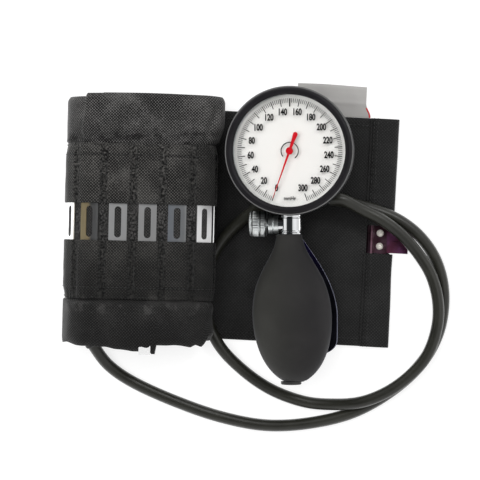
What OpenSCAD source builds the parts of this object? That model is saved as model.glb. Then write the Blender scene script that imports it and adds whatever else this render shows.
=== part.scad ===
// Aneroid sphygmomanometer: a palm gauge on its bulb, one hose, and a rolled hook cuff.
// Millimetres, +Z up out of the table. The gauge unit lies on the flat end of the cuff.
// The origin is on the table, under the middle of the object without its hose.

/* [Gauge] */
// Outer radius of the case behind the bezel
case_r = 30; // [28:0.5:33]
// Wall of the case
case_wall = 2.2; // [1.4:0.1:3]
// Depth of the case behind the stem's axis
case_back = 16; // [15.5:0.5:20]
// Rounding of the case's rear edge
case_edge = 5; // [3.5:0.5:7]
// Radius of the black bezel ring
bezel_r = 34.8; // [34:0.1:38]
// Wall of the bezel ring
bezel_wall = 1.75; // [1.2:0.05:2.5]
// Height of the bezel's front over the stem's axis
bezel_front = 17.5; // [17:0.5:22]
// Height of the bezel ring
bezel_h = 11; // [10:0.5:12]
// Radius of the window in the bezel
window_r = 30.2; // [26:0.1:31]
// Thickness of the lens
lens_t = 1.7; // [1:0.1:2.2]
// Thickness of the gasket under the lens
gasket_t = 0.6; // [0.4:0.1:1]
// Height of the pale spacer ring between lens and dial
spacer_h = 4.7; // [4:0.1:6]
// Width of the spacer ring's wall
spacer_w = 0.9; // [0.6:0.1:1.2]
// Thickness of the dial plate
dial_t = 0.6; // [0.4:0.1:1]
// Width of the case's ledge that carries the dial
ledge_w = 3.2; // [2:0.1:4]
// Length of the pointer from its hub to its tip
pointer_len = 27.2; // [22:0.1:28.5]
// Length of the pointer's tail from its hub to the end of its round weight
pointer_tail = 9.8; // [6:0.1:12]
// Width of the pointer beside its hub
pointer_w = 1.7; // [1:0.1:2.4]
// Radius of the pointer's hub
pointer_hub_r = 2; // [1.4:0.1:3]
// Turn of the scale from zero to its last mark
scale_turn = 321; // [300:1:330]

/* [Movement] */
// Gear module of the pinion and the sector
gear_m = 0.25; // [0.2:0.01:0.3]
// Teeth on the pinion
pinion_teeth = 10; // [10:1:12]
// Turns of the pointer for one turn of the sector
sector_ratio = 12; // [11:1:13]
// Thickness of the movement's plates
plate_t = 1; // [0.8:0.1:1.4]
// Clear height between the movement's plates
plate_gap = 5.6; // [5:0.1:6]
// Radius of the aneroid capsule
capsule_r = 13; // [10:0.5:14]
// Height of the aneroid capsule
capsule_h = 4.4; // [3.6:0.1:4.6]
// Turns of the hairspring
hair_turns = 4; // [3:1:6]

/* [Valve] */
// Radius of the chromed valve neck
neck_r = 5.9; // [5.4:0.1:6.4]
// Length of the neck that shows between case and bulb
neck_len = 10.2; // [8:0.1:14]
// Radius of the gland nut
gland_r = 5.45; // [4.8:0.05:5.8]
// Length of the gland nut
gland_len = 5.4; // [4:0.1:8]
// Radius of the knurled release knob
knob_r = 7.1; // [6:0.1:9]
// Length of the release knob
knob_len = 9.8; // [8:0.1:14]
// Flutes round the release knob
knob_flutes = 24; // [16:1:32]
// Radius of the valve spindle
spindle_r = 1.9; // [1.6:0.1:2.2]

/* [Bulb] */
// Length of the rubber bulb
bulb_len = 80; // [70:1:95]
// Largest radius of the bulb
bulb_r = 21.6; // [19:0.1:24]
// Radius of the bulb's neck
bulb_neck_r = 7.1; // [6.6:0.1:8]
// Radius of the bulb's lower mouth
bulb_mouth_r = 5.6; // [5.2:0.1:7]
// Wall of the bulb
bulb_wall = 2.2; // [1.6:0.1:3]
// Thickness of the metal palm spoon
spoon_t = 1.2; // [0.8:0.1:1.6]
// Half the spoon's largest width
spoon_half = 23.5; // [18:0.5:26]
// Distance of the spoon from the bulb
spoon_gap = 1.6; // [1.2:0.1:2.2]

/* [Hose] */
// Outer diameter of the hose
hose_d = 6.6; // [5.6:0.1:7]

/* [Cuff roll] */
// Length of the roll along Y
roll_len = 136; // [120:1:150]
// Radius of the roll's left bend
roll_left_r = 20; // [18:0.5:22]
// Radius of the roll's right bend
roll_right_r = 12; // [11.5:0.1:13]
// Distance between the two bends' centres along X
roll_span = 50.2; // [44:0.1:56]
// Height of the right bend's centre over the left one
roll_lift = 4.5; // [4:0.1:7]
// Thickness of the roll's outer wrap
wrap_t = 4.8; // [3.5:0.1:5]
// Thickness of the cloth in the channel bands
band_t = 0.8; // [0.5:0.1:1.2]
// Length of the upper channel band along Y
band_up = 32.6; // [26:0.1:38]
// Length of the lower channel band along Y
band_low = 31.7; // [26:0.1:38]
// Height of the open row between the bands, where the plates show
window_len = 20; // [14:0.5:26]
// Width of a slotted steel plate
slot_plate_w = 9.8; // [8:0.1:11]
// Length of a slotted steel plate
slot_plate_len = 44; // [34:0.5:50]
// Thickness of a slotted steel plate
slot_plate_t = 0.6; // [0.4:0.1:0.8]
// Width of the slot
slot_w = 3.6; // [2.6:0.1:4.4]
// Length of the slot
slot_len = 16.8; // [12:0.1:18]
// Distance from one plate to the next along the cloth
plate_pitch = 16; // [14:0.1:18]

/* [Flap and hook] */
// Width of the cuff's flat end along Y
flap_w = 127.5; // [110:0.5:145]
// Length of the flat end that runs out from under the roll
flap_len = 143; // [130:0.5:146]
// Thickness of the flat end
flap_t = 3; // [2.4:0.1:3.2]
// Width of the hem at its end
hem_w = 16; // [12:0.5:20]
// Thickness of the hem
hem_t = 4.6; // [4.4:0.1:5]
// Radius of the steel stay bar in the hem
bar_r = 1.3; // [1:0.1:1.5]
// Width of the hook's strap along Y
strap_w = 15.6; // [12:0.2:20]
// Length of the hook plate
hook_len = 18; // [14:0.5:19]
// Thickness of the hook plate
hook_t = 1; // [0.8:0.1:1.2]
// Width of the grey label
label_w = 40; // [30:1:50]
// Length of the grey label beyond the flap's edge
label_len = 19; // [12:0.5:24]

/* [Hidden] */
SLOT_PLATES = 7;
$fn = 64;

// Where the gauge unit, the roll and the flap lie, in plan and height, and how they are turned.
unit_at = [29.5, 42.9, 27.8];
unit_roll = 6;
roll_at = [-53.3, 6.4];
roll_turn = -1.4;
flap_at = [87.5, -1.6];
flap_turn = -3;

// Clearances between pieces that touch, run or are pushed together.
seat_gap = 0.05;
run_gap = 0.06;
soft_gap = 0.3;

// Heights in the gauge, measured along its own axis from the stem's axis.
bezel_low = bezel_front - bezel_h;
lip_t = 2.5;
lens_top = bezel_front - lip_t - seat_gap;
lens_low = lens_top - lens_t;
rim_top = lens_low - gasket_t - seat_gap;
rim_r = bezel_r - bezel_wall - seat_gap;
rim_wall = 1.6;
dial_seat_r = rim_r - rim_wall;
dial_top = rim_top - spacer_h;
dial_low = dial_top - dial_t;
case_floor = -case_back + case_wall;
pointer_z = dial_top + 1.4;
pointer_t = 0.5;

// The movement: gears, arbors, rocker and capsule.
pinion_r = gear_m * pinion_teeth / 2;
sector_r = pinion_r * sector_ratio;
sector_at = [-pinion_r - sector_r, 0];
sector_turn = scale_turn / sector_ratio;
arbor_r = 0.5;
sector_t = 0.8;
base_low = -3.4;
base_top = base_low + plate_t;
top_low = base_top + plate_gap;
top_top = top_low + plate_t;
plate_x = [-20.5, 16];
plate_half = 7.5;
rocker_y = 4.6;
rocker_z = -5.6;
rocker_x = [-17.2, 3];
finger_x = [-16, -11.4];
finger_t = 0.6;
tail_pin = [4, 5.6];
tail_pin_r = 0.45;
capsule_low = case_floor + seat_gap;
capsule_top = capsule_low + capsule_h;
pad_r = 2.4;
pad_t = 0.7;
post_spots = [[-18.6, 5.6], [-18.6, -5.6], [14.4, 5.4], [14.4, -5.4]];
pillar_spots = [[-18.2, 3.4], [5.5, 5.6], [5.5, -5.6]];

// The valve: its neck leaves the case at six o'clock and its knob points to the left.
neck_y = -bezel_r - neck_len;
stub_r = 4.5;
stub_y = -case_r + 4;
knob_y = -bezel_r - 4.4;
barb_r = 4.4;
barb_len = 11;
air_r = 1.2;
disc_r = 2.1;
disc_t = 0.8;
gland_x = -neck_r - 0.9;
knob_gap = 0.9;
knob_x = gland_x - gland_len - knob_gap;
needle_len = 3.2;
nipple_at = [20, -25.8, -12.2];
nipple_boss_r = 3.8;
nipple_collar_r = 3.4;
nipple_seat = nipple_at.x - 2.4;
nipple_stub_r = 2.4;

// The bulb's outline: neck, waist and belly, as two Bezier curves of radius and distance.
bulb_y = neck_y;
bulb_up = [[bulb_neck_r, 0], [bulb_neck_r, bulb_len * 0.11], [bulb_r, bulb_len * 0.22],
    [bulb_r, bulb_len * 0.55]];
bulb_down = [[bulb_r, bulb_len * 0.55], [bulb_r, bulb_len * 0.78], [bulb_r * 0.64, bulb_len * 0.93],
    [bulb_mouth_r, bulb_len]];
inlet_len = 9;
inlet_flange_t = 1.7;
ball_r = 1.6;

// The bladder's stem at the roll's lower end, and the hose: its route from the gauge's nipple
// to the stem, as round numbers.
stem_r = 4;
stem_len = 8;
stem_out = 1.4;
stem_at = [(roll_left_r - roll_right_r - roll_span) / 2 - 4.3, -roll_len / 2 - stem_out, 11];
hose_r = hose_d / 2;
hose_start = in_unit(nipple_at + [0.45, 0, 0]);
hose_lead = in_unit(nipple_at + [7.5, 0, 0]);
hose_route = [
    [69.6, 11.4, 15.4], [80.6, 5.7, 13.9], [91.6, -2.7, 12.1], [101.1, -13.7, 10],
    [108, -25.5, 9.4], [111.4, -39.5, 9.9], [110.8, -53.5, 10.4], [105.8, -68.1, 10.5],
    [96.6, -79.5, 10.5], [83.6, -89.1, 10.5], [68.6, -95.1, 9.4], [52.6, -96.7, 4.6],
    [36.6, -95.1, 3.4], [18.6, -88.3, 3.4], [2.6, -77.1, 4.2], [-10.4, -62.9, 6.9],
    [-17.4, -45.5, 6.6], [-18, -26.5, 6.6], [-10.4, -8.5, 6.6], [2.6, 6.1, 6.6], [18.6, 16.7, 6.6],
    [36.6, 20.3, 6.6], [54.6, 17.1, 7.2], [72.6, 12.9, 8.3], [88.6, 6.7, 7.9], [101.6, -3.1, 6.6],
    [111, -16.9, 4.4], [115.2, -34.5, 3.4], [113, -54.5, 3.4], [104.2, -72.1, 3.4],
    [88.6, -87.5, 3.4], [66.6, -100.5, 3.4], [42.6, -106.9, 3.4], [16.6, -108.5, 3.4],
    [-9.4, -103.7, 3.4], [-35.4, -94.7, 3.4], [-58, -84.4, 3.5], [-71.8, -74.6, 5.2]];
stem_way = in_roll(stem_at) - hose_route[len(hose_route) - 1];
hose_end = in_roll(stem_at) - 0.4 * stem_way / norm(stem_way);
hose_sides = 10;
hose_steps = 2;

// The roll's section: two round bends joined by straight runs, and what is sewn on it.
bend_dist = norm([roll_span, roll_lift]);
bend_tilt = atan2(roll_lift, roll_span);
bend_open = acos((roll_left_r - roll_right_r) / bend_dist);
left_c = [(roll_left_r - roll_right_r - roll_span) / 2, roll_left_r];
right_c = left_c + [roll_span, roll_lift];
top_angle = bend_tilt + bend_open;
band_rise = 1.8;
flat_top = sqrt(pow(bend_dist, 2) - pow(roll_left_r - roll_right_r, 2));
first_plate = -7.2 - plate_pitch;
band_from = -36;
band_to = first_plate + (SLOT_PLATES - 0.5) * plate_pitch;
window_mid = -2;
middle_sink = 2;
core_gap = 0.4;
core_t = 2;
core_pitch = 2.4;
tag_w = 7;
tag_len = 6.5;

// The flap's end: hems, bar and hook, measured back from the flap's edge.
bar_u = -12.9;
bar_z = hem_t / 2;
bar_in = 8;
hem_gap_v = [-12.4, 13];
strap_v = -3.75;
strap_t = 0.9;
strap_end = -3.9;
rivet_u = -7.56;
rivet_pitch = 7.3;
rivet_r = 2;
rivet_shank_r = 0.9;
label_u = -33;
label_t = 1.4;

// A point of the gauge unit, the roll or the flap, in the object's own frame.
function in_unit(p) = [
    unit_at.x + p.x * cos(unit_roll) - p.z * sin(unit_roll),
    unit_at.y + p.y,
    unit_at.z + p.x * sin(unit_roll) + p.z * cos(unit_roll)];
function in_roll(p) = [
    roll_at.x + p.x * cos(roll_turn) - p.y * sin(roll_turn),
    roll_at.y + p.x * sin(roll_turn) + p.y * cos(roll_turn),
    p.z];

// Points on an arc from one angle to another.
function arc(c, r, from, to, steps) =
    [for (i = [0:steps]) let (a = from + (to - from) * i / steps) c + r * [cos(a), sin(a)]];

// Points along a cubic Bezier curve with the control points p.
function bezier(p, steps) = [for (i = [0:steps]) let (u = i / steps, w = 1 - u)
    w * w * w * p[0] + 3 * w * w * u * p[1] + 3 * w * u * u * p[2] + u * u * u * p[3]];

// Points along a smooth curve through every point of p.
function through(p, steps) = concat(
    [for (i = [0:len(p) - 2], k = [0:steps - 1])
        let (a = p[max(i - 1, 0)], b = p[i], c = p[i + 1], d = p[min(i + 2, len(p) - 1)], u = k / steps)
        0.5 * (2 * b + (c - a) * u + (2 * a - 5 * b + 4 * c - d) * u * u
            + (3 * b - a - 3 * c + d) * u * u * u)],
    [p[len(p) - 1]]);

// The outline of a gear with n teeth of module m, one tooth centred on the first axis.
function gear_outline(n, m, thin) = [for (i = [0:n - 1], k = [0:3])
    let (r = m * n / 2, half = [0.29, 0.1, -0.1, -0.29][k] * thin * 360 / n)
    (k == 0 || k == 3 ? r - 1.2 * m : r + 0.8 * m) * [cos(360 * i / n - half), sin(360 * i / n - half)]];

// Places for what belongs to the gauge unit, the roll and the flap.
module unit() {
    translate(unit_at) rotate([0, -unit_roll, 0]) children();
}

module roll_place() {
    translate([roll_at.x, roll_at.y, 0]) rotate(roll_turn) children();
}

module flap_place() {
    translate([flap_at.x, flap_at.y, 0]) rotate(flap_turn) children();
}

// A round bar along X or along Y, from a start and over a length.
module bar_x(x, length, r) {
    translate([x, 0, 0]) rotate([0, 90, 0]) cylinder(h = length, r = r);
}

module bar_y(y, length, r) {
    translate([0, y, 0]) rotate([-90, 0, 0]) cylinder(h = length, r = r);
}

// A profile turned about the unit's long axis, its second number running down the bulb.
module turned_down(y) {
    translate([0, y, 0]) rotate([90, 0, 0]) rotate_extrude() children();
}

// A solid between two grids of points: rows of equal length, over and under each other.
module grid_solid(over, under) {
    rows = len(over);
    cols = len(over[0]);
    size = rows * cols;
    inner = [for (i = [0:rows - 2], k = [0:cols - 2])
        let (a = i * cols + k) [a, a + 1, a + cols + 1, a + cols]];
    edge = concat([for (k = [0:cols - 2]) [k, k + 1]],
        [for (i = [0:rows - 2]) [(i + 1) * cols - 1, (i + 2) * cols - 1]],
        [for (k = [cols - 1:-1:1]) [(rows - 1) * cols + k, (rows - 1) * cols + k - 1]],
        [for (i = [rows - 1:-1:1]) [i * cols, (i - 1) * cols]]);
    polyhedron(
        points = [for (g = [over, under], row = g, p = row) p],
        faces = concat(
            [for (q = inner, t = [[q[0], q[1], q[2]], [q[0], q[2], q[3]]]) t],
            [for (q = inner, t = [[q[2], q[1], q[0]], [q[3], q[2], q[0]]])
                t + [size, size, size]],
            [for (e = edge, t = [[e[1], e[0], e[0] + size], [e[1], e[0] + size, e[1] + size]]) t]));
}

// A solid skinned over closed rings of points, its ends flat, or joined to each other.
module ring_solid(rings, joined = false) {
    n = len(rings[0]);
    last = len(rings) - 1;
    polyhedron(
        points = [for (ring = rings, p = ring) p],
        faces = concat(
            [for (i = [0:joined ? last : last - 1], k = [0:n - 1])
                let (a = i * n + k, b = i * n + (k + 1) % n, j = (i + 1) % (last + 1), c = j * n + k,
                    d = j * n + (k + 1) % n)
                each [[a, c, b], [b, c, d]]],
            joined ? [] : [[for (k = [0:n - 1]) k], [for (k = [n - 1:-1:0]) last * n + k]]));
}

// The case: a moulded cup with a rim for dial and lens, and two bored bosses for air.
module gauge_case() {
    color([0.08, 0.08, 0.09]) unit() difference() {
        union() {
            rotate_extrude() polygon(concat([[0, -case_back]],
                arc([case_r - case_edge, case_edge - case_back], case_edge, -90, 0, 8),
                [[case_r, bezel_low - 2], [rim_r, bezel_low - 0.3], [rim_r, rim_top], [0, rim_top]]));
            translate([0, nipple_at.y, nipple_at.z])
                bar_x(nipple_at.x - 12, nipple_seat - nipple_at.x + 12, nipple_boss_r);
        }
        rotate_extrude() polygon(concat([[0, case_floor]],
            arc([case_r - case_edge, case_edge - case_back], case_edge - case_wall, -90, 0, 6),
            [[case_r - case_wall, dial_low - ledge_w], [dial_seat_r - ledge_w, dial_low],
            [dial_seat_r, dial_low], [dial_seat_r, rim_top + 1], [0, rim_top + 1]]));
        bar_y(-case_r - 1, case_wall + 4, stub_r + seat_gap);
        bar_y(-rim_r - 1, rim_r - case_r + 0.6 + seat_gap, neck_r + seat_gap);
        translate([0, nipple_at.y, nipple_at.z]) bar_x(0, nipple_at.x, nipple_stub_r + seat_gap);
        translate([0, nipple_at.y, nipple_at.z])
            bar_x(nipple_seat, case_wall + 5, nipple_collar_r + seat_gap);
    }
}

// The bezel: a turned ring pushed over the rim, its rounded lip holding the lens.
module bezel_ring() {
    low = lens_top + seat_gap;
    color([0.05, 0.05, 0.06]) unit() rotate_extrude() polygon([
        [rim_r + seat_gap, bezel_low], [bezel_r - 0.3, bezel_low], [bezel_r, bezel_low + 0.3],
        [bezel_r, bezel_front - 2], [bezel_r - 0.5, bezel_front - 0.9],
        [bezel_r - 1.4, bezel_front - 0.2], [bezel_r - 2.4, bezel_front],
        [window_r + 1.2, bezel_front - 0.3], [window_r + 0.3, bezel_front - 0.9],
        [window_r, bezel_front - 1.6], [window_r, low], [rim_r + seat_gap, low]]);
}

module lens() {
    edge_r = rim_r - 2 * seat_gap;
    color([0.85, 0.9, 0.92, 0.35]) unit() rotate_extrude() polygon([
        [0, lens_low], [edge_r, lens_low], [edge_r, lens_top - 0.3], [edge_r - 0.3, lens_top],
        [0, lens_top]]);
}

module lens_gasket() {
    color([0.1, 0.1, 0.1]) unit() translate([0, 0, rim_top + seat_gap / 2]) difference() {
        cylinder(h = gasket_t, r = rim_r - 2 * seat_gap);
        translate([0, 0, -1]) cylinder(h = gasket_t + 2, r = dial_seat_r + seat_gap);
    }
}

module dial_spacer() {
    color([0.86, 0.86, 0.84]) unit() translate([0, 0, dial_top]) difference() {
        cylinder(h = lens_low - dial_top - seat_gap, r = dial_seat_r - seat_gap);
        translate([0, 0, -1]) cylinder(h = spacer_h + 4, r = dial_seat_r - spacer_w);
    }
}

module dial_plate() {
    color([0.95, 0.95, 0.94]) unit() translate([0, 0, dial_low]) difference() {
        cylinder(h = dial_t, r = dial_seat_r - seat_gap);
        translate([0, 0, -1]) cylinder(h = dial_t + 2, r = arbor_r + 0.9);
    }
}

// The pointer: a tapered blade with a round weight on its tail, pushed on the arbor.
module pointer() {
    zero_way = 270 - (360 - scale_turn) / 2;
    weight_r = 1.5;
    color([0.8, 0.06, 0.12]) unit() translate([0, 0, pointer_z]) rotate(zero_way) difference() {
        union() {
            linear_extrude(pointer_t) union() {
                polygon([[0, pointer_w / 2], [pointer_len, 0.15], [pointer_len, -0.15],
                    [0, -pointer_w / 2]]);
                polygon([[0, pointer_w / 2], [weight_r - pointer_tail, 0.7],
                    [weight_r - pointer_tail, -0.7], [0, -pointer_w / 2]]);
                translate([weight_r - pointer_tail, 0]) circle(weight_r);
            }
            translate([0, 0, -0.5]) cylinder(h = pointer_t + 1.1, r = pointer_hub_r);
        }
        translate([0, 0, -1]) cylinder(h = pointer_t + 1.1, r = arbor_r + seat_gap / 2);
    }
}

// The pinion and its arbor, with the collet that holds the hairspring's inner end.
module pinion_arbor() {
    color([0.75, 0.72, 0.62]) unit() union() {
        translate([0, 0, base_low]) cylinder(h = pointer_z - base_low, r = arbor_r);
        translate([0, 0, -1]) linear_extrude(2)
            rotate(180 / pinion_teeth + (pinion_teeth % 2) * 180 / pinion_teeth)
                polygon(gear_outline(pinion_teeth, gear_m, 0.8));
        translate([0, 0, 1.5]) cylinder(h = 0.9, r = arbor_r + 0.6);
    }
}

// The hairspring: a flat spiral of strip that takes up the play of the gears.
module hairspring() {
    steps = 24;
    inner_r = arbor_r + 0.9;
    outer_r = 5.2;
    strip = 0.14;
    turn = [for (i = [0:steps * hair_turns]) i / steps];
    color([0.8, 0.66, 0.35]) unit() translate([0, 0, 1.7]) linear_extrude(0.4) polygon(concat(
        [for (t = turn) (inner_r + (outer_r - inner_r) * t / hair_turns) * [cos(360 * t), sin(360 * t)]],
        [for (i = [len(turn) - 1:-1:0]) let (t = turn[i])
            (inner_r - strip + (outer_r - inner_r) * t / hair_turns) * [cos(360 * t), sin(360 * t)]]));
}

// The toothed sector on its arbor, with a tail pin that the rocker's finger pushes.
module sector_gear() {
    full = pinion_teeth * sector_ratio;
    margin = 6;
    rim = 2.4;
    tail_dist = norm(tail_pin);
    color([0.8, 0.68, 0.36]) unit() translate([sector_at.x, sector_at.y, 0]) union() {
        translate([0, 0, -sector_t / 2]) linear_extrude(sector_t) union() {
            intersection() {
                polygon(gear_outline(full, gear_m, 0.8));
                difference() {
                    polygon(concat([[0, 0]], arc([0, 0], sector_r + 3, -sector_turn - margin, margin, 12)));
                    polygon(arc([0, 0], sector_r - rim, -sector_turn - margin + 5, margin - 5, 10),
                        [concat([for (i = [0:10]) i])]);
                }
            }
            polygon(concat([[0, 0]], arc([0, 0], sector_r - 1, -18, -3, 6)));
            circle(2);
            rotate(atan2(tail_pin.y, tail_pin.x)) translate([0, -0.8]) square([tail_dist, 1.6]);
            translate(tail_pin) circle(0.9);
        }
        translate([0, 0, base_low]) cylinder(h = top_top - base_low, r = arbor_r);
        translate([tail_pin.x, tail_pin.y, -2.1]) cylinder(h = 2, r = tail_pin_r);
    }
}

// The rocker: a shaft with a foot over the capsule's pad and a finger behind the tail pin.
module rocker_shaft() {
    pad_top = capsule_top + pad_t + seat_gap;
    foot_r = 0.7;
    color([0.7, 0.7, 0.7]) unit() union() {
        translate([0, rocker_y, rocker_z]) bar_x(rocker_x[0], rocker_x[1] - rocker_x[0], arbor_r);
        translate([-1.2, -0.8, rocker_z - 0.4]) cube([2.4, rocker_y + 0.8, 0.8]);
        translate([0, 0, pad_top + 0.1 + foot_r]) sphere(foot_r);
        translate([0, 0, pad_top + 0.1 + foot_r]) cylinder(h = rocker_z - pad_top - foot_r, r = foot_r);
        translate([finger_x[0], rocker_y - finger_t / 2, rocker_z])
            cube([finger_x[1] - finger_x[0], finger_t, -1 - rocker_z]);
    }
}

module movement_plate(x0, x1, z) {
    translate([0, 0, z]) linear_extrude(plate_t) difference() {
        union() {
            translate([x0 + 2, -plate_half]) square([x1 - x0 - 4, 2 * plate_half]);
            translate([x0, 2 - plate_half]) square([x1 - x0, 2 * plate_half - 4]);
            for (x = [x0 + 2, x1 - 2], y = [2 - plate_half, plate_half - 2]) translate([x, y]) circle(2);
        }
        circle(arbor_r + run_gap);
        translate(sector_at) circle(arbor_r + run_gap);
    }
}

// The base plate, with two ears for the rocker's shaft and a window for its finger.
module movement_base() {
    ear_t = 0.8;
    color([0.78, 0.66, 0.38]) unit() difference() {
        union() {
            movement_plate(plate_x[0], plate_x[1], base_low);
            for (x = [rocker_x[0] + 0.1, rocker_x[1] - ear_t - 0.1])
                translate([x, rocker_y - 1.2, rocker_z - 1.2])
                    cube([ear_t, 2.4, base_low - rocker_z + 1.4]);
        }
        translate([finger_x[0] - 0.3, rocker_y - finger_t / 2 - 0.4, base_low - 0.1])
            cube([finger_x[1] - finger_x[0] + 0.6, 2.3, plate_t + 0.2]);
        translate([0, rocker_y, rocker_z])
            bar_x(rocker_x[0] - 1, rocker_x[1] - rocker_x[0] + 2, arbor_r + run_gap);
    }
}

module movement_top() {
    color([0.78, 0.66, 0.38]) unit() movement_plate(plate_x[0], plate_x[1] - 8, top_low);
}

module movement_pillars() {
    color([0.8, 0.7, 0.42]) unit() for (p = pillar_spots)
        translate([p.x, p.y, base_top]) cylinder(h = plate_gap, r = 0.9);
}

module movement_posts() {
    color([0.8, 0.7, 0.42]) unit() for (p = post_spots)
        translate([p.x, p.y, case_floor]) cylinder(h = base_low - case_floor, r = 1.4);
}

// The capsule: two corrugated discs soldered at their edge, standing on a boss.
module aneroid_capsule() {
    boss_h = 0.9;
    boss_r = 4;
    wave = 0.25;
    fold = [for (i = [0:10]) i / 10];
    color([0.82, 0.62, 0.34]) unit() rotate_extrude() polygon(concat(
        [[0, capsule_low], [boss_r, capsule_low], [boss_r, capsule_low + boss_h]],
        [for (f = fold) [boss_r + 0.5 + (capsule_r - boss_r - 1.5) * f,
            capsule_low + boss_h + 0.3 + wave * sin(720 * f)]],
        [[capsule_r, capsule_low + boss_h + 0.9], [capsule_r, capsule_top - 1]],
        [for (i = [10:-1:0]) let (f = fold[i]) [boss_r + 0.5 + (capsule_r - boss_r - 1.5) * f,
            capsule_top - 0.35 - wave * sin(720 * f)]],
        [[boss_r, capsule_top], [0, capsule_top]]));
}

module capsule_pad() {
    color([0.8, 0.7, 0.42]) unit() translate([0, 0, capsule_top + seat_gap]) cylinder(h = pad_t, r = pad_r);
}

// The air nipple on the case, shouldered for the end of the hose.
module hose_nipple() {
    color([0.8, 0.8, 0.82]) unit() translate([0, nipple_at.y, nipple_at.z]) difference() {
        union() {
            bar_x(nipple_at.x - 9, 7, nipple_stub_r);
            bar_x(nipple_seat + seat_gap, 1, nipple_collar_r);
            bar_x(nipple_seat, nipple_at.x - nipple_seat - seat_gap, nipple_stub_r);
        }
        bar_x(nipple_at.x - 10, 11, 1.1);
    }
}

// The valve body: one turned piece with a stub for the case, the neck, a side boss for the
// release valve and a barb for the bulb, bored through for the air.
module valve_body() {
    barb_end = neck_y - barb_len;
    color([0.85, 0.86, 0.88]) unit() difference() {
        union() {
            bar_y(-case_r - 0.4, case_r + 0.4 + stub_y, stub_r);
            bar_y(neck_y, -case_r - 0.4 - neck_y, neck_r);
            bar_y(barb_end, barb_len, barb_r);
            translate([0, knob_y, 0]) bar_x(gland_x + seat_gap, 4, gland_r - 0.5);
        }
        bar_y(barb_end - 1, stub_y - barb_end + 2, air_r);
        bar_y(barb_end - 1, 1 + 3.4, disc_r + 0.3);
        translate([0, knob_y, 0]) bar_x(gland_x - 1, -gland_x - 1.6, spindle_r + run_gap);
        translate([0, knob_y, 0]) bar_x(-3, 3, 0.8);
        for (y = [neck_y + 1.4, -bezel_r - 0.8]) translate([0, y, 0]) rotate([90, 0, 0])
            rotate_extrude() translate([neck_r, 0]) circle(0.4, $fn = 24);
    }
}

module gland_nut() {
    color([0.8, 0.81, 0.83]) unit() translate([0, knob_y, 0]) difference() {
        bar_x(gland_x - gland_len, gland_len, gland_r);
        bar_x(gland_x - gland_len - 1, gland_len + 2, spindle_r + run_gap);
        bar_x(gland_x - 1.4, 2, 3.2);
        translate([gland_x - gland_len / 2, 0, 0]) rotate([0, 90, 0]) rotate_extrude()
            translate([gland_r, 0]) circle(0.5, $fn = 24);
    }
}

module spindle_seal() {
    color([0.1, 0.1, 0.1]) unit() translate([gland_x - 0.7, knob_y, 0]) rotate([0, 90, 0])
        rotate_extrude() translate([spindle_r + 0.65, 0]) circle(0.5, $fn = 24);
}

module valve_spindle() {
    far = knob_x - knob_len + 2;
    color([0.78, 0.7, 0.5]) unit() translate([0, knob_y, 0]) bar_x(far, -needle_len - 2.2 - far, spindle_r);
}

module valve_needle() {
    color([0.75, 0.75, 0.76]) unit() translate([-needle_len - 2.1, knob_y, 0]) rotate([0, 90, 0]) union() {
        cylinder(h = needle_len - 1.1, r = 1.2);
        translate([0, 0, needle_len - 1.1]) cylinder(h = 1.3, r1 = 1.2, r2 = 0.25);
    }
}

// The release knob: a fluted grip with three turned grooves, pushed on the spindle.
module release_knob() {
    flute_deep = 0.35;
    per_flute = 4;
    round_n = knob_flutes * per_flute;
    color([0.86, 0.87, 0.89]) unit() translate([knob_x - knob_len, knob_y, 0]) rotate([0, 90, 0])
        difference() {
            union() {
                translate([0, 0, 0.5]) linear_extrude(knob_len - 1) polygon([for (i = [0:round_n - 1])
                    let (a = 360 * i / round_n)
                        (knob_r - flute_deep * abs(sin(180 * i / per_flute))) * [cos(a), sin(a)]]);
                cylinder(h = 0.6, r1 = knob_r - 1, r2 = knob_r - 0.5);
                translate([0, 0, knob_len - 0.6]) cylinder(h = 0.6, r1 = knob_r - 0.5, r2 = knob_r - 1);
            }
            translate([0, 0, 2]) cylinder(h = knob_len, r = spindle_r + seat_gap / 2);
            for (z = [1.5, knob_len * 0.58, knob_len - 1.2]) translate([0, 0, z]) difference() {
                cylinder(h = 0.5, r = knob_r + 1);
                translate([0, 0, -1]) cylinder(h = 3, r = knob_r - 0.7);
            }
        }
}

module outlet_valve_disc() {
    color([0.15, 0.15, 0.15]) unit() bar_y(neck_y - barb_len + 1.1, disc_t, disc_r);
}

module outlet_valve_cage() {
    color([0.8, 0.7, 0.42]) unit() difference() {
        bar_y(neck_y - barb_len, 1, disc_r + 0.3 - seat_gap / 2);
        bar_y(neck_y - barb_len - 1, 3, 1.2);
    }
}

// The bulb: a moulded rubber pear, hollow, open at its neck and at its lower mouth.
module bulb() {
    outline = concat(bezier(bulb_up, 12), [for (i = [1:12]) bezier(bulb_down, 12)[i]]);
    room = [for (p = outline) if (p[1] > barb_len + 3 && p[1] < bulb_len - 4) [p[0] - bulb_wall, p[1]]];
    plug_r = bulb_mouth_r - 1.5;
    color([0.17, 0.17, 0.17]) unit() turned_down(bulb_y) polygon(concat(
        [[barb_r + seat_gap, 0]], outline, [[plug_r, bulb_len]], [[plug_r, bulb_len - 4]],
        [for (i = [len(room) - 1:-1:0]) room[i]], [[barb_r + seat_gap, barb_len + 1]]));
}

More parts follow.
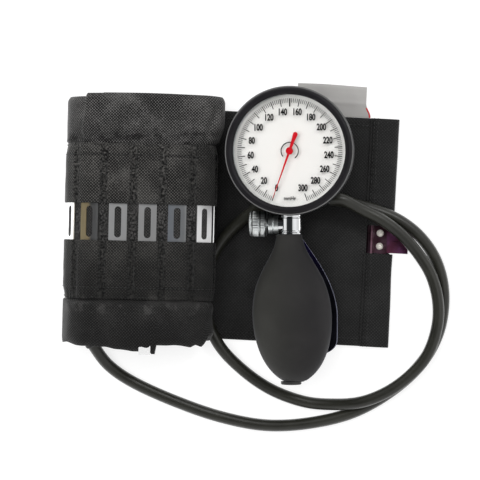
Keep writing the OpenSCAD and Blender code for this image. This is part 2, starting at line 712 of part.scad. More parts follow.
// The inlet valve: a flanged plug in the bulb's mouth, with a ball that lets air in only.
module inlet_valve_body() {
    plug_r = bulb_mouth_r - 1.5 - seat_gap;
    color([0.12, 0.12, 0.12]) unit() turned_down(bulb_y) polygon([
        [1, bulb_len - 2], [1, bulb_len + inlet_flange_t],
        [bulb_mouth_r - 0.4, bulb_len + inlet_flange_t],
        [bulb_mouth_r, bulb_len + inlet_flange_t - 0.4], [bulb_mouth_r, bulb_len + seat_gap],
        [plug_r, bulb_len + seat_gap], [plug_r, bulb_len - inlet_len + 2],
        [ball_r + run_gap, bulb_len - inlet_len + 2],
        [ball_r + run_gap, bulb_len - 3.2]]);
}

module inlet_valve_ball() {
    color([0.75, 0.75, 0.77]) unit() translate([0, bulb_y - bulb_len + 4.6, 0]) sphere(ball_r);
}

module inlet_valve_cage() {
    color([0.8, 0.7, 0.42]) unit() difference() {
        bar_y(bulb_y - bulb_len + inlet_len - 2, 1, bulb_mouth_r - 1.6);
        bar_y(bulb_y - bulb_len + inlet_len - 3, 3, 1);
    }
}

// The palm spoon: sheet steel bent along the bulb's back and dished across.
module palm_spoon() {
    cols = [for (i = [-4:4]) i / 4];
    belly = concat([for (i = [3:12]) bezier(bulb_up, 12)[i]], [for (i = [1:6]) bezier(bulb_down, 12)[i]]);
    reach = belly[len(belly) - 1][1];
    spine = concat([[neck_r + seat_gap, -8], [neck_r + seat_gap, -3.4], [bulb_neck_r + spoon_gap, 1]],
        [for (p = belly) [p[0] + spoon_gap, p[1]]]);
    function half_at(t) = t < 0 ? 4 :
        (4 + (spoon_half - 4) * sin(90 * min(1, t / 46))) * sqrt(1 - pow(max(0, t - 54) / (reach - 53), 2));
    function rows(deep) = [for (p = spine) [for (c = cols) let (x = c * half_at(p[1]))
        [x, bulb_y - p[1], x * x / 68 - p[0] - deep]]];
    color([0.3, 0.3, 0.42]) unit() difference() {
        grid_solid(rows(0), rows(spoon_t));
        translate([0, knob_y, -neck_r - 3]) cylinder(h = 4, r = 1.3);
    }
}

module spoon_screw() {
    color([0.8, 0.8, 0.82]) unit() translate([0, knob_y, -neck_r - seat_gap]) union() {
        translate([0, 0, -spoon_t - 1.15]) cylinder(h = 1.1, r1 = 1.9, r2 = 2.3);
        translate([0, 0, -spoon_t - 0.1]) cylinder(h = spoon_t + 0.1, r = 1.2);
    }
}

// The hose: one tube swept along its route.
module hose() {
    route = through(concat([hose_start, hose_lead], hose_route, [hose_end]), hose_steps);
    last = len(route) - 1;
    rings = [for (i = [0:last])
        let (way = route[min(i + 1, last)] - route[max(i - 1, 0)],
            side = cross(way, [0, 0, 1]) / norm(cross(way, [0, 0, 1])),
            up = cross(side, way) / norm(way))
        [for (k = [0:hose_sides - 1]) let (a = 360 * k / hose_sides)
            route[i] + hose_r * (cos(a) * side + sin(a) * up)]];
    far = [for (i = [0:last], j = [i + 10:1:last]) norm(route[i] - route[j]) - hose_d];
    echo(hose_length = sum([for (i = [1:last]) norm(route[i] - route[i - 1])]), least_gap = min(far));
    color([0.2, 0.2, 0.18]) ring_solid(rings);
}

function sum(v) = v * [for (x = v) 1];

// The roll's section: points round both bends, drawn in by a depth.
function section(deep) = concat(
    arc(left_c, roll_left_r - deep, top_angle, 360 + bend_tilt - bend_open, 22),
    arc(right_c, roll_right_r - deep, bend_tilt - bend_open, top_angle, 16));

// A point over the roll's middle at a distance s along the cloth from the left bend's top,
// raised by a height, and the slope of the cloth there.
function wrap_angle(s) = s < 0 ? top_angle - s / roll_left_r * 180 / PI :
    s > flat_top ? top_angle - (s - flat_top) / roll_right_r * 180 / PI : top_angle;
function wrap_at(s, rise) = let (a = wrap_angle(s), out = rise - middle_sink)
    s > flat_top ? right_c + (roll_right_r + out) * [cos(a), sin(a)] :
    left_c + (roll_left_r + out) * [cos(a), sin(a)] + max(s, 0) * [sin(a), -cos(a)];

// The rubber sleeve round the hose where it goes in at the end of the roll.
module bladder_stem() {
    color([0.15, 0.15, 0.15]) stem_bar(0);
}

module stem_bar(grown) {
    translate(in_roll(stem_at))
        rotate([0, acos(stem_way.z / norm(stem_way)), atan2(stem_way.y, stem_way.x)])
            cylinder(h = stem_len + grown, r = stem_r + grown);
}

// The bladder: the rubber bag's flattened fold at the heart of the roll.
module bladder() {
    inset = 4;
    color([0.25, 0.2, 0.18]) difference() {
        roll_place() translate([0, roll_len / 2 - inset, 0]) rotate([90, 0, 0])
            linear_extrude(roll_len - 2 * inset)
                polygon(section(wrap_t + core_gap + 2 * core_pitch + core_t - 0.9));
        stem_bar(soft_gap);
    }
}

// The inner turns of cloth, wound as one spiral between the bladder and the outer wrap.
module cuff_core() {
    turns = 1.5;
    steps = len(section(0));
    count = floor(steps * turns);
    function spiral(i, extra) = let (deep = wrap_t + core_gap + core_pitch * i / steps + extra)
        section(deep)[i % steps];
    inset = 2;
    color([0.1, 0.1, 0.1]) difference() {
        roll_place() translate([0, roll_len / 2 - inset, 0]) rotate([90, 0, 0])
            linear_extrude(roll_len - 2 * inset) polygon(concat(
                [for (i = [0:count]) spiral(i, 0)], [for (i = [count:-1:0]) spiral(i, core_t)]));
        stem_bar(soft_gap);
    }
}

// The outer wrap: padded cloth round the core, its ends rounded in.
module cuff_roll() {
    half = roll_len / 2;
    low = window_mid - window_len / 2 - band_low - 0.6;
    high = window_mid + window_len / 2 + band_up + 0.6;
    rows = [[-half, 1.4], [1.2 - half, 0.4], [5 - half, 0], [low - 2.2, 0.2], [low, middle_sink],
        [high, middle_sink], [high + 2.2, 0.2], [half - 5, 0], [half - 1.2, 0.4], [half, 1.4],
        [half, wrap_t], [-half, wrap_t]];
    color([0.13, 0.13, 0.13]) roll_place()
        ring_solid([for (r = rows) [for (p = section(r[1])) [p.x, r[0], p.y]]], true);
}

// A band of cloth stitched down between the plates, so that each plate has its own channel.
module channel_band(v0, v1) {
    // Over one channel: where along it, its share of the rise, and its share of the crown.
    across = [[-0.5, 0, 0], [-0.36, 0.9, 0.35], [-0.22, 1, 0.75], [0, 1, 1], [0.22, 1, 0.75],
        [0.36, 0.9, 0.35]];
    stitch_rise = 0.3;
    crown = 0.7;
    bend_rise = 0.6;
    hem_rise = 0.4;
    function rise_at(s, share) = share == 0 ? stitch_rise :
        band_rise * share + (s > flat_top ? bend_rise : 0);
    cols = concat([[band_from, 0.6, 0]],
        [for (i = [0:SLOT_PLATES - 1], c = across)
            let (s = first_plate + (i + c[0]) * plate_pitch) [s, rise_at(s, c[1]), c[2] * crown]],
        [[band_to, stitch_rise, 0]]);
    rows = [[v0, hem_rise], [v0 + 1, 1], [(v0 + v1) / 2, 1], [v1 - 1, 1], [v1, hem_rise]];
    color([0.12, 0.12, 0.12]) roll_place() grid_solid(
        [for (r = rows) [for (c = cols)
            let (p = wrap_at(c[0], c[1] + band_t + c[2] * r[1])) [p.x, r[0], p.y]]],
        [for (r = rows) [for (c = cols) let (p = wrap_at(c[0], c[1])) [p.x, r[0], p.y]]]);
}

module upper_channel_band() {
    channel_band(window_mid + window_len / 2, window_mid + window_len / 2 + band_up);
}

module lower_channel_band() {
    channel_band(window_mid - window_len / 2 - band_low, window_mid - window_len / 2);
}

// One steel plate with a round-ended slot, lying on the wrap inside its channel.
module slot_plate(i) {
    s = first_plate + (i - 1) * plate_pitch;
    p = wrap_at(s, 2 * seat_gap);
    straight = slot_len - slot_w;
    corner = 1;
    color([0.8, 0.81, 0.83]) roll_place() translate([p.x, window_mid, p.y])
        rotate([0, 90 - wrap_angle(s), 0]) linear_extrude(slot_plate_t) difference() {
            union() {
                square([slot_plate_w - 2 * corner, slot_plate_len], center = true);
                square([slot_plate_w, slot_plate_len - 2 * corner], center = true);
                for (x = [corner - slot_plate_w / 2, slot_plate_w / 2 - corner],
                    y = [corner - slot_plate_len / 2, slot_plate_len / 2 - corner])
                    translate([x, y]) circle(corner);
            }
            square([slot_w, straight], center = true);
            for (y = [-1, 1]) translate([0, y * straight / 2]) circle(d = slot_w);
        }
}

// The cuff's flat end, two plies of cloth with rounded corners.
module cuff_flap() {
    corner = 4;
    run = flap_len - hem_w;
    color([0.11, 0.11, 0.11]) flap_place() difference() {
        translate([-flap_len, -flap_w / 2, 0]) cube([run - seat_gap, flap_w, flap_t]);
        for (y = [-1, 1]) translate([-flap_len, y * flap_w / 2, -1]) difference() {
            translate([-corner, -corner, 0]) cube([2 * corner, 2 * corner, flap_t + 2]);
            translate([corner, -y * corner, -1]) cylinder(h = flap_t + 4, r = corner);
            translate([corner, -2 * corner, -1]) cube([corner, 4 * corner, flap_t + 4]);
        }
    }
}

// A folded hem at the flap's end, thick at its fold, bored for the stay bar's end.
module hem(v0, v1) {
    bar_v = abs(v0) < abs(v1) ? v0 : v1 - bar_in;
    color([0.1, 0.1, 0.1]) flap_place() difference() {
        translate([0, v1, 0]) rotate([90, 0, 0]) linear_extrude(v1 - v0) polygon(concat(
            [[-hem_w, 0]], arc([-hem_t / 2, hem_t / 2], hem_t / 2, -90, 90, 8),
            [[bar_u - 1.5, hem_t], [-hem_w, hem_t - 0.8]]));
        translate([bar_u, bar_v - 1, bar_z]) rotate([-90, 0, 0])
            cylinder(h = bar_in + 1, r = bar_r + seat_gap);
    }
}

module flap_hem_upper() {
    hem(hem_gap_v[1], flap_w / 2);
}

module flap_hem_lower() {
    hem(-flap_w / 2, hem_gap_v[0]);
}

// The steel bar that the hook's strap swings on.
module stay_bar() {
    length = hem_gap_v[1] - hem_gap_v[0] + 2 * bar_in - 1;
    color([0.75, 0.75, 0.78]) flap_place() translate([bar_u, hem_gap_v[0] - bar_in + 0.5, bar_z])
        rotate([-90, 0, 0]) cylinder(h = length, r = bar_r);
}

// The strap: looped round the bar and riveted down on the hook plate.
module hook_strap() {
    loop_r = bar_r + run_gap + strap_t;
    ply_z = bar_z - 0.9;
    color([0.2, 0.1, 0.2]) flap_place() difference() {
        translate([0, strap_v + strap_w / 2, 0]) rotate([90, 0, 0]) linear_extrude(strap_w) union() {
            translate([bar_u, bar_z]) circle(loop_r);
            translate([bar_u, ply_z]) square([strap_end - bar_u, strap_t]);
        }
        translate([bar_u, strap_v - strap_w, bar_z]) rotate([-90, 0, 0])
            cylinder(h = 2 * strap_w, r = bar_r + run_gap);
        rivet_holes();
    }
}

module rivet_holes() {
    for (v = [-1, 1]) translate([rivet_u, strap_v + v * rivet_pitch / 2, -1])
        cylinder(h = 10, r = rivet_shank_r + seat_gap);
}

// The hook plate: pressed steel with a lip turned up at its free end.
module hook_plate() {
    top = bar_z - 0.9 - seat_gap;
    from = bar_u + 3.2;
    lip = 0.7;
    color([0.42, 0.24, 0.42]) flap_place() difference() {
        translate([0, strap_v + strap_w / 2 - 0.6, 0]) rotate([90, 0, 0])
            linear_extrude(strap_w - 1.2) polygon([[from, top - hook_t],
                [from + hook_len - 1.2, top - hook_t], [from + hook_len, top - hook_t + lip],
                [from + hook_len, top + lip], [from + hook_len - 0.8, top + lip],
                [from + hook_len - 1.6, top], [from, top]]);
        rivet_holes();
    }
}

module hook_rivets() {
    top = bar_z - 0.9 + strap_t + seat_gap;
    low = bar_z - 0.9 - seat_gap - hook_t;
    dome = 1.1;
    ball = (rivet_r * rivet_r + dome * dome) / (2 * dome);
    color([0.85, 0.85, 0.86]) flap_place() for (v = [-1, 1])
        translate([rivet_u, strap_v + v * rivet_pitch / 2, 0]) union() {
            translate([0, 0, low]) cylinder(h = top - low + 0.1, r = rivet_shank_r);
            intersection() {
                translate([0, 0, top]) cylinder(h = dome, r = rivet_r);
                translate([0, 0, top + dome - ball]) sphere(ball);
            }
        }
}

// The grey label: a ribbon folded on itself and sewn into the flap's upper edge.
module size_label() {
    ply = 0.5;
    color([0.58, 0.57, 0.56]) flap_place() translate([label_u - label_w / 2, flap_w / 2 + seat_gap, 0.1])
        rotate([90, 0, 90]) linear_extrude(label_w) difference() {
            union() {
                square([label_len - label_t / 2, label_t]);
                translate([label_len - label_t / 2, label_t / 2]) circle(d = label_t);
            }
            translate([-1, ply]) square([label_len - label_t / 2 + 0.4, label_t - 2 * ply]);
        }
}

// The small white care tag, caught in the seam at the roll's lower end.
module care_label() {
    color([0.9, 0.9, 0.88]) roll_place()
        translate([1.6 - tag_w / 2, -roll_len / 2 - tag_len, wrap_at(21, 0).y - 0.4])
            cube([tag_w, tag_len - seat_gap, 0.5]);
}

gauge_case();
bezel_ring();
lens();
lens_gasket();
dial_spacer();
dial_plate();
pointer();
pinion_arbor();
hairspring();
sector_gear();
rocker_shaft();
movement_base();
movement_top();
movement_pillars();
movement_posts();
aneroid_capsule();
capsule_pad();
hose_nipple();
valve_body();
gland_nut();
spindle_seal();
valve_spindle();
valve_needle();
release_knob();
outlet_valve_disc();
outlet_valve_cage();
bulb();
inlet_valve_body();
inlet_valve_ball();
inlet_valve_cage();
palm_spoon();
spoon_screw();
hose();
bladder_stem();
bladder();
cuff_core();
cuff_roll();
upper_channel_band();
lower_channel_band();
for (i = [1:SLOT_PLATES]) slot_plate(i);
cuff_flap();
flap_hem_upper();
flap_hem_lower();
stay_bar();
hook_strap();
hook_plate();
hook_rivets();
size_label();
care_label();
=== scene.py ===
import math

import bmesh
import bpy
from mathutils import Matrix, Vector, geometry, noise


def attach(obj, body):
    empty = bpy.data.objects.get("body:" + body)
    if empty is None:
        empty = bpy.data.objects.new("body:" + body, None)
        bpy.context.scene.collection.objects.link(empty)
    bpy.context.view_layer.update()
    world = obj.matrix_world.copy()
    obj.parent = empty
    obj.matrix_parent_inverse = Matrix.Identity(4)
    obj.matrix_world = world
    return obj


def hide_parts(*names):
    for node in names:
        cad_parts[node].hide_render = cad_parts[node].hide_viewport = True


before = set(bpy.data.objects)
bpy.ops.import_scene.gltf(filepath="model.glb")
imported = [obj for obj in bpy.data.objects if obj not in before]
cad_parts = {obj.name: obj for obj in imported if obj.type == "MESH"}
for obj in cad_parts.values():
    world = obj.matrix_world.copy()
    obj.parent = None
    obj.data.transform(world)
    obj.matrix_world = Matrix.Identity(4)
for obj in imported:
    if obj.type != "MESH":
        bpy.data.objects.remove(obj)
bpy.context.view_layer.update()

# Camera and table. The set lies on a white table and is seen from straight above, with the
# camera's up side towards +Y. The light is an even white tent with a small lamp at the upper
# right and a wide soft one at the left, and the metal sees a dark patch overhead.
CAMERA_OVER = (0.0016, -0.0051)
CAMERA_HEIGHT = 1.04
MM_PER_PIXEL = 0.56
PHOTO_PIXELS = 480
SENSOR_MM = 36

scene = bpy.context.scene
scene.view_settings.view_transform = "Standard"

camera_data = bpy.data.cameras.new("camera")
camera_data.sensor_width = SENSOR_MM
camera_data.lens = SENSOR_MM * CAMERA_HEIGHT / (PHOTO_PIXELS * MM_PER_PIXEL / 1000)
camera = bpy.data.objects.new("camera", camera_data)
camera.location = (*CAMERA_OVER, CAMERA_HEIGHT)
scene.collection.objects.link(camera)
scene.camera = camera


class Value:
    """A shader socket that plain arithmetic adds Math nodes to."""

    def __init__(self, nodes, socket):
        self.nodes = nodes
        self.socket = socket

    def math(self, operation, *others, clamp=False):
        node = self.nodes.tree.nodes.new("ShaderNodeMath")
        node.operation = operation
        node.use_clamp = clamp
        for socket, value in zip(node.inputs, (self, *others)):
            self.nodes.put(socket, value)
        return Value(self.nodes, node.outputs[0])

    def __add__(self, other):
        return self.math("ADD", other)

    def __mul__(self, other):
        return self.math("MULTIPLY", other)

    def __sub__(self, other):
        return self.math("SUBTRACT", other)

    def __truediv__(self, other):
        return self.math("DIVIDE", other)

    def __rsub__(self, other):
        return (self * -1) + other

    def clamped(self):
        return self.math("ADD", 0, clamp=True)

    def wave(self, waves):
        """A sine from 0 to 1 with that many waves for each unit."""
        return (self * (waves * 2 * math.pi)).math("SINE") * 0.5 + 0.5

    def step(self, low, high):
        """A smooth rise from 0 at low to 1 at high."""
        return self.nodes.node("ShaderNodeMapRange", {"interpolation_type": "SMOOTHSTEP"},
                               {"Value": self, "From Min": low, "From Max": high})

    def near(self, place, reach, edge):
        """One within reach of a place, and nothing beyond the edge."""
        return 1 - (self - place).math("ABSOLUTE").step(reach, edge)

    __radd__ = __add__
    __rmul__ = __mul__


class Finish:
    """A material's node tree, and the one way that a node is added to it."""

    def __init__(self, name, tree=None):
        if tree is None:
            self.material = bpy.data.materials.new(name)
            self.material.use_nodes = True
            tree = self.material.node_tree
        tree.nodes.clear()
        self.tree = tree

    def put(self, socket, value):
        if isinstance(value, Value):
            self.tree.links.new(value.socket, socket)
        else:
            socket.default_value = value

    def node(self, kind, settings=None, values=None, out=0):
        node = self.tree.nodes.new(kind)
        for key, setting in (settings or {}).items():
            if key == "stops":
                ramp = node.color_ramp
                while len(ramp.elements) < len(setting):
                    ramp.elements.new(1)
                for element, (place, colour) in zip(ramp.elements, setting):
                    element.position = place
                    element.color = colour
            else:
                setattr(node, key, setting)
        for key, value in (values or {}).items():
            self.put(node.inputs[key], value)
        return Value(self, node.outputs[out])

    def noise(self, scale, detail=2, where=None, rough=0.5):
        return self.node("ShaderNodeTexNoise", None, {
            "Scale": scale, "Detail": detail, "Roughness": rough, "Vector": where or self.place()})

    def place(self):
        return self.node("ShaderNodeTexCoord", out="Object")

    def along(self):
        """The piece's own map, in metres over its surface."""
        return self.node("ShaderNodeUVMap", {"uv_map": "along"})

    def axis(self, k, where=None):
        """One number of a place, which is in Object coordinates unless another is given."""
        return self.node("ShaderNodeSeparateXYZ", None, {0: where or self.place()}, out=k)

    def drawn_out(self, *scale):
        return self.node("ShaderNodeMapping", None, {"Vector": self.place(), "Scale": scale})

    def mix(self, factor, low, high):
        return self.node("ShaderNodeMix", {"data_type": "RGBA"}, {0: factor, 6: low, 7: high},
                         out=2)

    def bump(self, height, distance, strength=1.0):
        return self.node("ShaderNodeBump", None,
                         {"Height": height, "Distance": distance, "Strength": strength})

    def surface(self, **values):
        """The Principled shader, with its sockets named by words joined with underscores."""
        named = {key.replace("_", " "): value for key, value in values.items()}
        self.end(self.node("ShaderNodeBsdfPrincipled", None, named))
        return self.material

    def end(self, shader, kind="ShaderNodeOutputMaterial"):
        output = self.tree.nodes.new(kind)
        self.tree.links.new(shader.socket, output.inputs["Surface"])


def grey(level, blue=0.0):
    return (level, level, level + blue, 1)


def clouded(name, cloud, low, high, rough, grain=None, **more):
    """A finish that drifts between two colours, with a roughness that follows the same cloud.

    The cloud is a noise's scale and detail, rough is its gain and its least value, and the grain
    is a finer noise's scale and detail with its height in metres and its strength.
    """
    finish = Finish(name)
    drift = finish.noise(*cloud)
    if grain:
        scale, detail, *depth = grain
        more["Normal"] = finish.bump(finish.noise(scale, detail), *depth)
    return finish.surface(Base_Color=finish.mix(drift, low, high),
                          Roughness=drift * rough[0] + rough[1], **more)


def dress(piece, material):
    piece.data.materials.clear()
    piece.data.materials.append(material)


def dress_solids(material, *nodes):
    for node in nodes:
        dress(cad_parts[node], material)


TABLE_HALF = 0.9
TABLE_WHITE = 0.88
TABLE_SEEN = 0.3
TABLE_GLOW = 0.76
table_mesh = bpy.data.meshes.new("table")
table_mesh.from_pydata([(x * TABLE_HALF, y * TABLE_HALF, 0)
                        for x, y in ((-1, -1), (1, -1), (1, 1), (-1, 1))], [], [(0, 1, 2, 3)])
table = bpy.data.objects.new("table", table_mesh)
scene.collection.objects.link(table)
finish = Finish("table_white")
camera_ray = finish.node("ShaderNodeLightPath", out="Is Camera Ray")
paper = finish.node("ShaderNodeBsdfDiffuse", None, {
    "Color": finish.mix(camera_ray, grey(TABLE_WHITE), grey(TABLE_SEEN))})
glow = finish.node("ShaderNodeEmission", None, {"Color": grey(1), "Strength": TABLE_GLOW})
seen = (camera_ray + finish.node("ShaderNodeLightPath", out="Is Glossy Ray")
        + finish.node("ShaderNodeLightPath", out="Is Transmission Ray")).clamped()
dark = finish.node("ShaderNodeEmission", None, {"Strength": 0.0})
glow = finish.node("ShaderNodeMixShader", None, {0: seen, 1: dark, 2: glow})
finish.end(finish.node("ShaderNodeAddShader", None, {0: paper, 1: glow}))
dress(table, finish.material)

TENT_LEVEL = 0.46
scene.world = bpy.data.worlds.new("tent")
scene.world.use_nodes = True
tent = Finish("tent", scene.world.node_tree)
DARK_WAY = (-0.342, 0, 0.94)
height = tent.node("ShaderNodeVectorMath", {"operation": "DOT_PRODUCT"},
                   {0: tent.node("ShaderNodeTexCoord", out="Generated"), 1: DARK_WAY}, out="Value")
overhead = tent.node("ShaderNodeValToRGB", {"stops": [
    (0.0, grey(1.9)), (0.5, grey(2.4)), (0.81, grey(2.0)), (0.88, (0.085, 0.09, 0.095, 1)),
    (1.0, (0.055, 0.06, 0.065, 1))]}, {0: height})
shiny = tent.node("ShaderNodeLightPath", out="Is Glossy Ray")
tent.end(tent.node("ShaderNodeBackground", None, {
    "Color": tent.mix(shiny, grey(1), overhead), "Strength": TENT_LEVEL}), "ShaderNodeOutputWorld")

LAMPS = {
    "key_lamp": ((0.5, 0.6, 1.1), 0.24, 4.0),
    "left_lamp": ((-0.36, 0.12, 1.2), 0.8, 12.5),
}
for name, (spot, size, power) in LAMPS.items():
    lamp_data = bpy.data.lights.new(name, "AREA")
    lamp_data.size = size
    lamp_data.energy = power
    lamp = bpy.data.objects.new(name, lamp_data)
    lamp.location = spot
    lamp.rotation_euler = (-Vector(spot)).to_track_quat("-Z", "Y").to_euler()
    lamp.visible_glossy = name == "key_lamp"
    scene.collection.objects.link(lamp)

# Hose. One soft rubber hose from the gauge's nipple, lying over its own outer run, under the
# cuff's roll and back, and out to the roll's lower end. It is extruded, so its section is
# plain, with a dull sheen and a little dust.
HOSE_ACROSS = 0.0066
HOSE_ROUTE_MM = [
    (51.11, 17.1, 17.8), (58.12, 17.1, 18.54), (69.6, 11.4, 15.4), (80.6, 5.7, 13.9),
    (91.6, -2.7, 12.1), (101.1, -13.7, 10), (108, -25.5, 9.4), (111.4, -39.5, 9.9),
    (110.8, -53.5, 10.4), (105.8, -68.1, 10.5), (96.6, -79.5, 10.5), (83.6, -89.1, 10.5),
    (68.6, -95.1, 9.4), (52.6, -96.7, 4.6), (36.6, -95.1, 3.4), (18.6, -88.3, 3.4),
    (2.6, -77.1, 4.2), (-10.4, -62.9, 6.9), (-17.4, -45.5, 6.6), (-18, -26.5, 6.6),
    (-10.4, -8.5, 6.6), (2.6, 6.1, 6.6), (18.6, 16.7, 6.6), (36.6, 20.3, 6.6), (54.6, 17.1, 7.2),
    (72.6, 12.9, 8.3), (88.6, 6.7, 7.9), (101.6, -3.1, 6.6), (111, -16.9, 4.4),
    (115.2, -34.5, 3.4), (113, -54.5, 3.4), (104.2, -72.1, 3.4), (88.6, -87.5, 3.4),
    (66.6, -100.5, 3.4), (42.6, -106.9, 3.4), (16.6, -108.5, 3.4), (-9.4, -103.7, 3.4),
    (-35.4, -94.7, 3.4), (-58, -84.4, 3.5), (-71.8, -74.6, 5.2), (-80.17, -62.66, 10.86)]

hose_curve = bpy.data.curves.new("hose_tube", "CURVE")
hose_curve.dimensions = "3D"
hose_curve.bevel_depth = HOSE_ACROSS / 2
hose_curve.bevel_resolution = 6
hose_curve.resolution_u = 10
hose_curve.use_fill_caps = True
hose_line = hose_curve.splines.new("BEZIER")
hose_line.bezier_points.add(len(HOSE_ROUTE_MM) - 1)
hose_points = [Vector(p) / 1000 for p in HOSE_ROUTE_MM]
for k, (knot, here) in enumerate(zip(hose_line.bezier_points, hose_points)):
    before = hose_points[max(k - 1, 0)]
    after = hose_points[min(k + 1, len(hose_points) - 1)]
    knot.handle_left_type = knot.handle_right_type = "FREE"
    knot.co = here
    knot.handle_left = here - (after - before) / 6
    knot.handle_right = here + (after - before) / 6
hose_tube = bpy.data.objects.new("hose_tube", hose_curve)
scene.collection.objects.link(hose_tube)

finish = Finish("hose_olive_black")
dust = finish.noise(60, 4)
dress(hose_tube, finish.surface(
    Base_Color=finish.mix(
        dust.step(0.35, 0.75), (0.011, 0.011, 0.0082, 1), (0.019, 0.019, 0.0145, 1)),
    Roughness=finish.noise(220, 3) * 0.14 + 0.3, Specular_IOR_Level=0.42,
    Normal=finish.bump(finish.noise(1400, 2), 0.00003)))
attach(hose_tube, "set")
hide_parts("hose")

# Gauge case. A moulded black cup with a rim for the dial and the lens, and two bored bosses
# for air. The whole gauge unit lies on the cuff, leaning six degrees to the left.


def placed(spot, degrees, axis):
    """A place in metres, with a turn about one axis."""
    return Matrix.Translation(spot) @ Matrix.Rotation(math.radians(degrees), 4, axis)


UNIT_PLACE = placed((0.0295, 0.0429, 0.0278), -6, "Y")


def skinned(name, rings, place, material, ends="caps", smooth_under=40, across=None):
    """Quads over rows of closed rings, in millimetres, and put in place in the mesh itself.

    The ends are caps, joined to each other, or left open. A cap is a ladder of quads, each rung
    between two points at the same distance from the ring's first one. The UV map is in metres
    along the surface, so that a weave follows it, or takes its first number from across.
    """
    around = len(rings[0])
    count = len(rings)
    mesh = bpy.data.meshes.new(name)
    faces = []
    last = count if ends == "joined" else count - 1
    for row in range(last):
        below = (row + 1) % count * around
        for k in range(around):
            step = (k + 1) % around
            faces.append((row * around + k, below + k, below + step, row * around + step))
    if ends == "caps":
        for first in (0, (count - 1) * around):
            for k in range((around - 1) // 2):
                rung = (k, k + 1, around - 2 - k, around - 1 - k)
                faces.append(tuple(dict.fromkeys(first + j for j in rung)))
    mesh.from_pydata([p for ring in rings for p in ring], [], faces)
    along = [0.0]
    for row in range(1, count + 1):
        ahead, behind = rings[row % count][0], rings[row - 1][0]
        along.append(along[-1] + math.dist(ahead, behind) / 1000)
    girth = [0.0]
    middle = rings[count // 2]
    for k in range(1, around + 1):
        girth.append(girth[-1] + math.dist(middle[k % around], middle[k - 1]) / 1000)
    girth = across or girth
    cloth = mesh.uv_layers.new(name="along")
    loop = 0
    for row in range(last):
        for k in range(around):
            for u, v in ((k, row), (k, row + 1), (k + 1, row + 1), (k + 1, row)):
                cloth.data[loop].uv = (girth[u], along[v])
                loop += 1
    return settled(name, mesh, place, material, smooth_under)


def settled(name, mesh, place, material, smooth_under=40):
    """The mesh as a piece: millimetres made metres, doubles merged, faces outward, edges shaded."""
    mesh.name = name
    work = bmesh.new()
    work.from_mesh(mesh)
    bmesh.ops.remove_doubles(work, verts=work.verts, dist=1e-4)
    bmesh.ops.dissolve_degenerate(work, edges=work.edges, dist=1e-5)
    bmesh.ops.recalc_face_normals(work, faces=work.faces)
    work.to_mesh(mesh)
    work.free()
    mesh.transform(place @ Matrix.Scale(0.001, 4))
    mesh.shade_smooth()
    mesh.set_sharp_from_angle(angle=math.radians(smooth_under))
    piece = bpy.data.objects.new(name, mesh)
    scene.collection.objects.link(piece)
    dress(piece, material)
    return piece


def turned(name, outline, place, material, steps=144, ends="open", smooth_under=40):
    """A piece turned on a lathe about Z, from (radius, height) points in millimetres."""
    turns = [(math.cos(2 * math.pi * k / steps), math.sin(2 * math.pi * k / steps))
             for k in range(steps)]
    rings = [[(r * c, r * s, z) for c, s in turns] for r, z in outline]
    return skinned(name, rings, place, material, ends, smooth_under)


def fitted(piece, slot, *nodes, body="set"):
    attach(piece, body)
    if nodes:
        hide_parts(*nodes)


case_black = clouded("case_black_satin", (90, 4), grey(0.007), grey(0.011, 0.001), (0.12, 0.42),
                     (2600, 3, 0.00002, 0.6), Specular_IOR_Level=0.25)
dress_solids(case_black, "gauge_case", "lens_gasket")

# Bezel. A black ring pushed over the case's rim. Its face is a shallow cone with a soft satin
# finish, a thin painted highlight runs round its outer edge, and its lip holds the lens down.
BEZEL_OUTLINE = [
    (33.1, 6.5), (34.4, 6.5), (34.66, 6.56), (34.8, 6.8), (34.8, 15.3), (34.72, 15.75),
    (34.5, 16.15), (34.35, 16.2), (34.15, 16.12), (33.95, 16.3), (33.6, 16.9), (33.1, 17.28),
    (32.5, 17.48), (32.0, 17.44), (31.2, 17.2), (30.7, 16.9), (30.4, 16.5), (30.25, 16.0),
    (30.2, 15.4), (30.2, 15.02), (33.1, 15.02)]
# A thin line of painted highlight round the bezel's outer edge, as a paler grey colour.
BEZEL_HIGHLIGHT_LINE = 0.01145
finish = Finish("bezel_black")
bezel_scuff = finish.noise(70, 5, rough=0.62)
bezel_out = finish.axis(1, finish.along())
bezel_black = finish.surface(
    Base_Color=finish.mix(
        bezel_out.near(BEZEL_HIGHLIGHT_LINE, 0.0002, 0.0005) * 0.8,
        finish.mix(bezel_scuff.step(0.4, 0.75), (0.0055, 0.005, 0.0062, 1),
                   (0.009, 0.008, 0.0098, 1)),
        grey(0.15)),
    Roughness=bezel_scuff * 0.2 + 0.36, Specular_IOR_Level=0.18,
    Normal=finish.bump(finish.noise(2400, 2), 0.000012, 0.5))
bezel = turned("bezel", BEZEL_OUTLINE, UNIT_PLACE, bezel_black, 216, "joined", 50)
fitted(bezel, "case_black", "bezel_ring")

# Spacer and dial. A pale plastic ring stands on the dial's edge and carries the lens. The dial
# is a painted tin disc, warm white, with the scale printed in black.
dress_solids(clouded("spacer_pale", (160, 3), (0.27, 0.30, 0.315, 1), (0.37, 0.40, 0.415, 1),
                     (0.1, 0.28)), "dial_spacer")
dress_solids(clouded("dial_paint", (45, 3), (0.775, 0.765, 0.738, 1), (0.815, 0.806, 0.78, 1),
                     (0.08, 0.42), (1800, 2, 0.000008, 0.5)), "dial_plate")

DIAL_FACE_MM = 10.64
DIAL_PRINT_MM = 0.05
dial_ink = clouded("dial_ink", (900, 2), grey(0.003), grey(0.008), (0.1, 0.45),
                   Specular_IOR_Level=0.08)


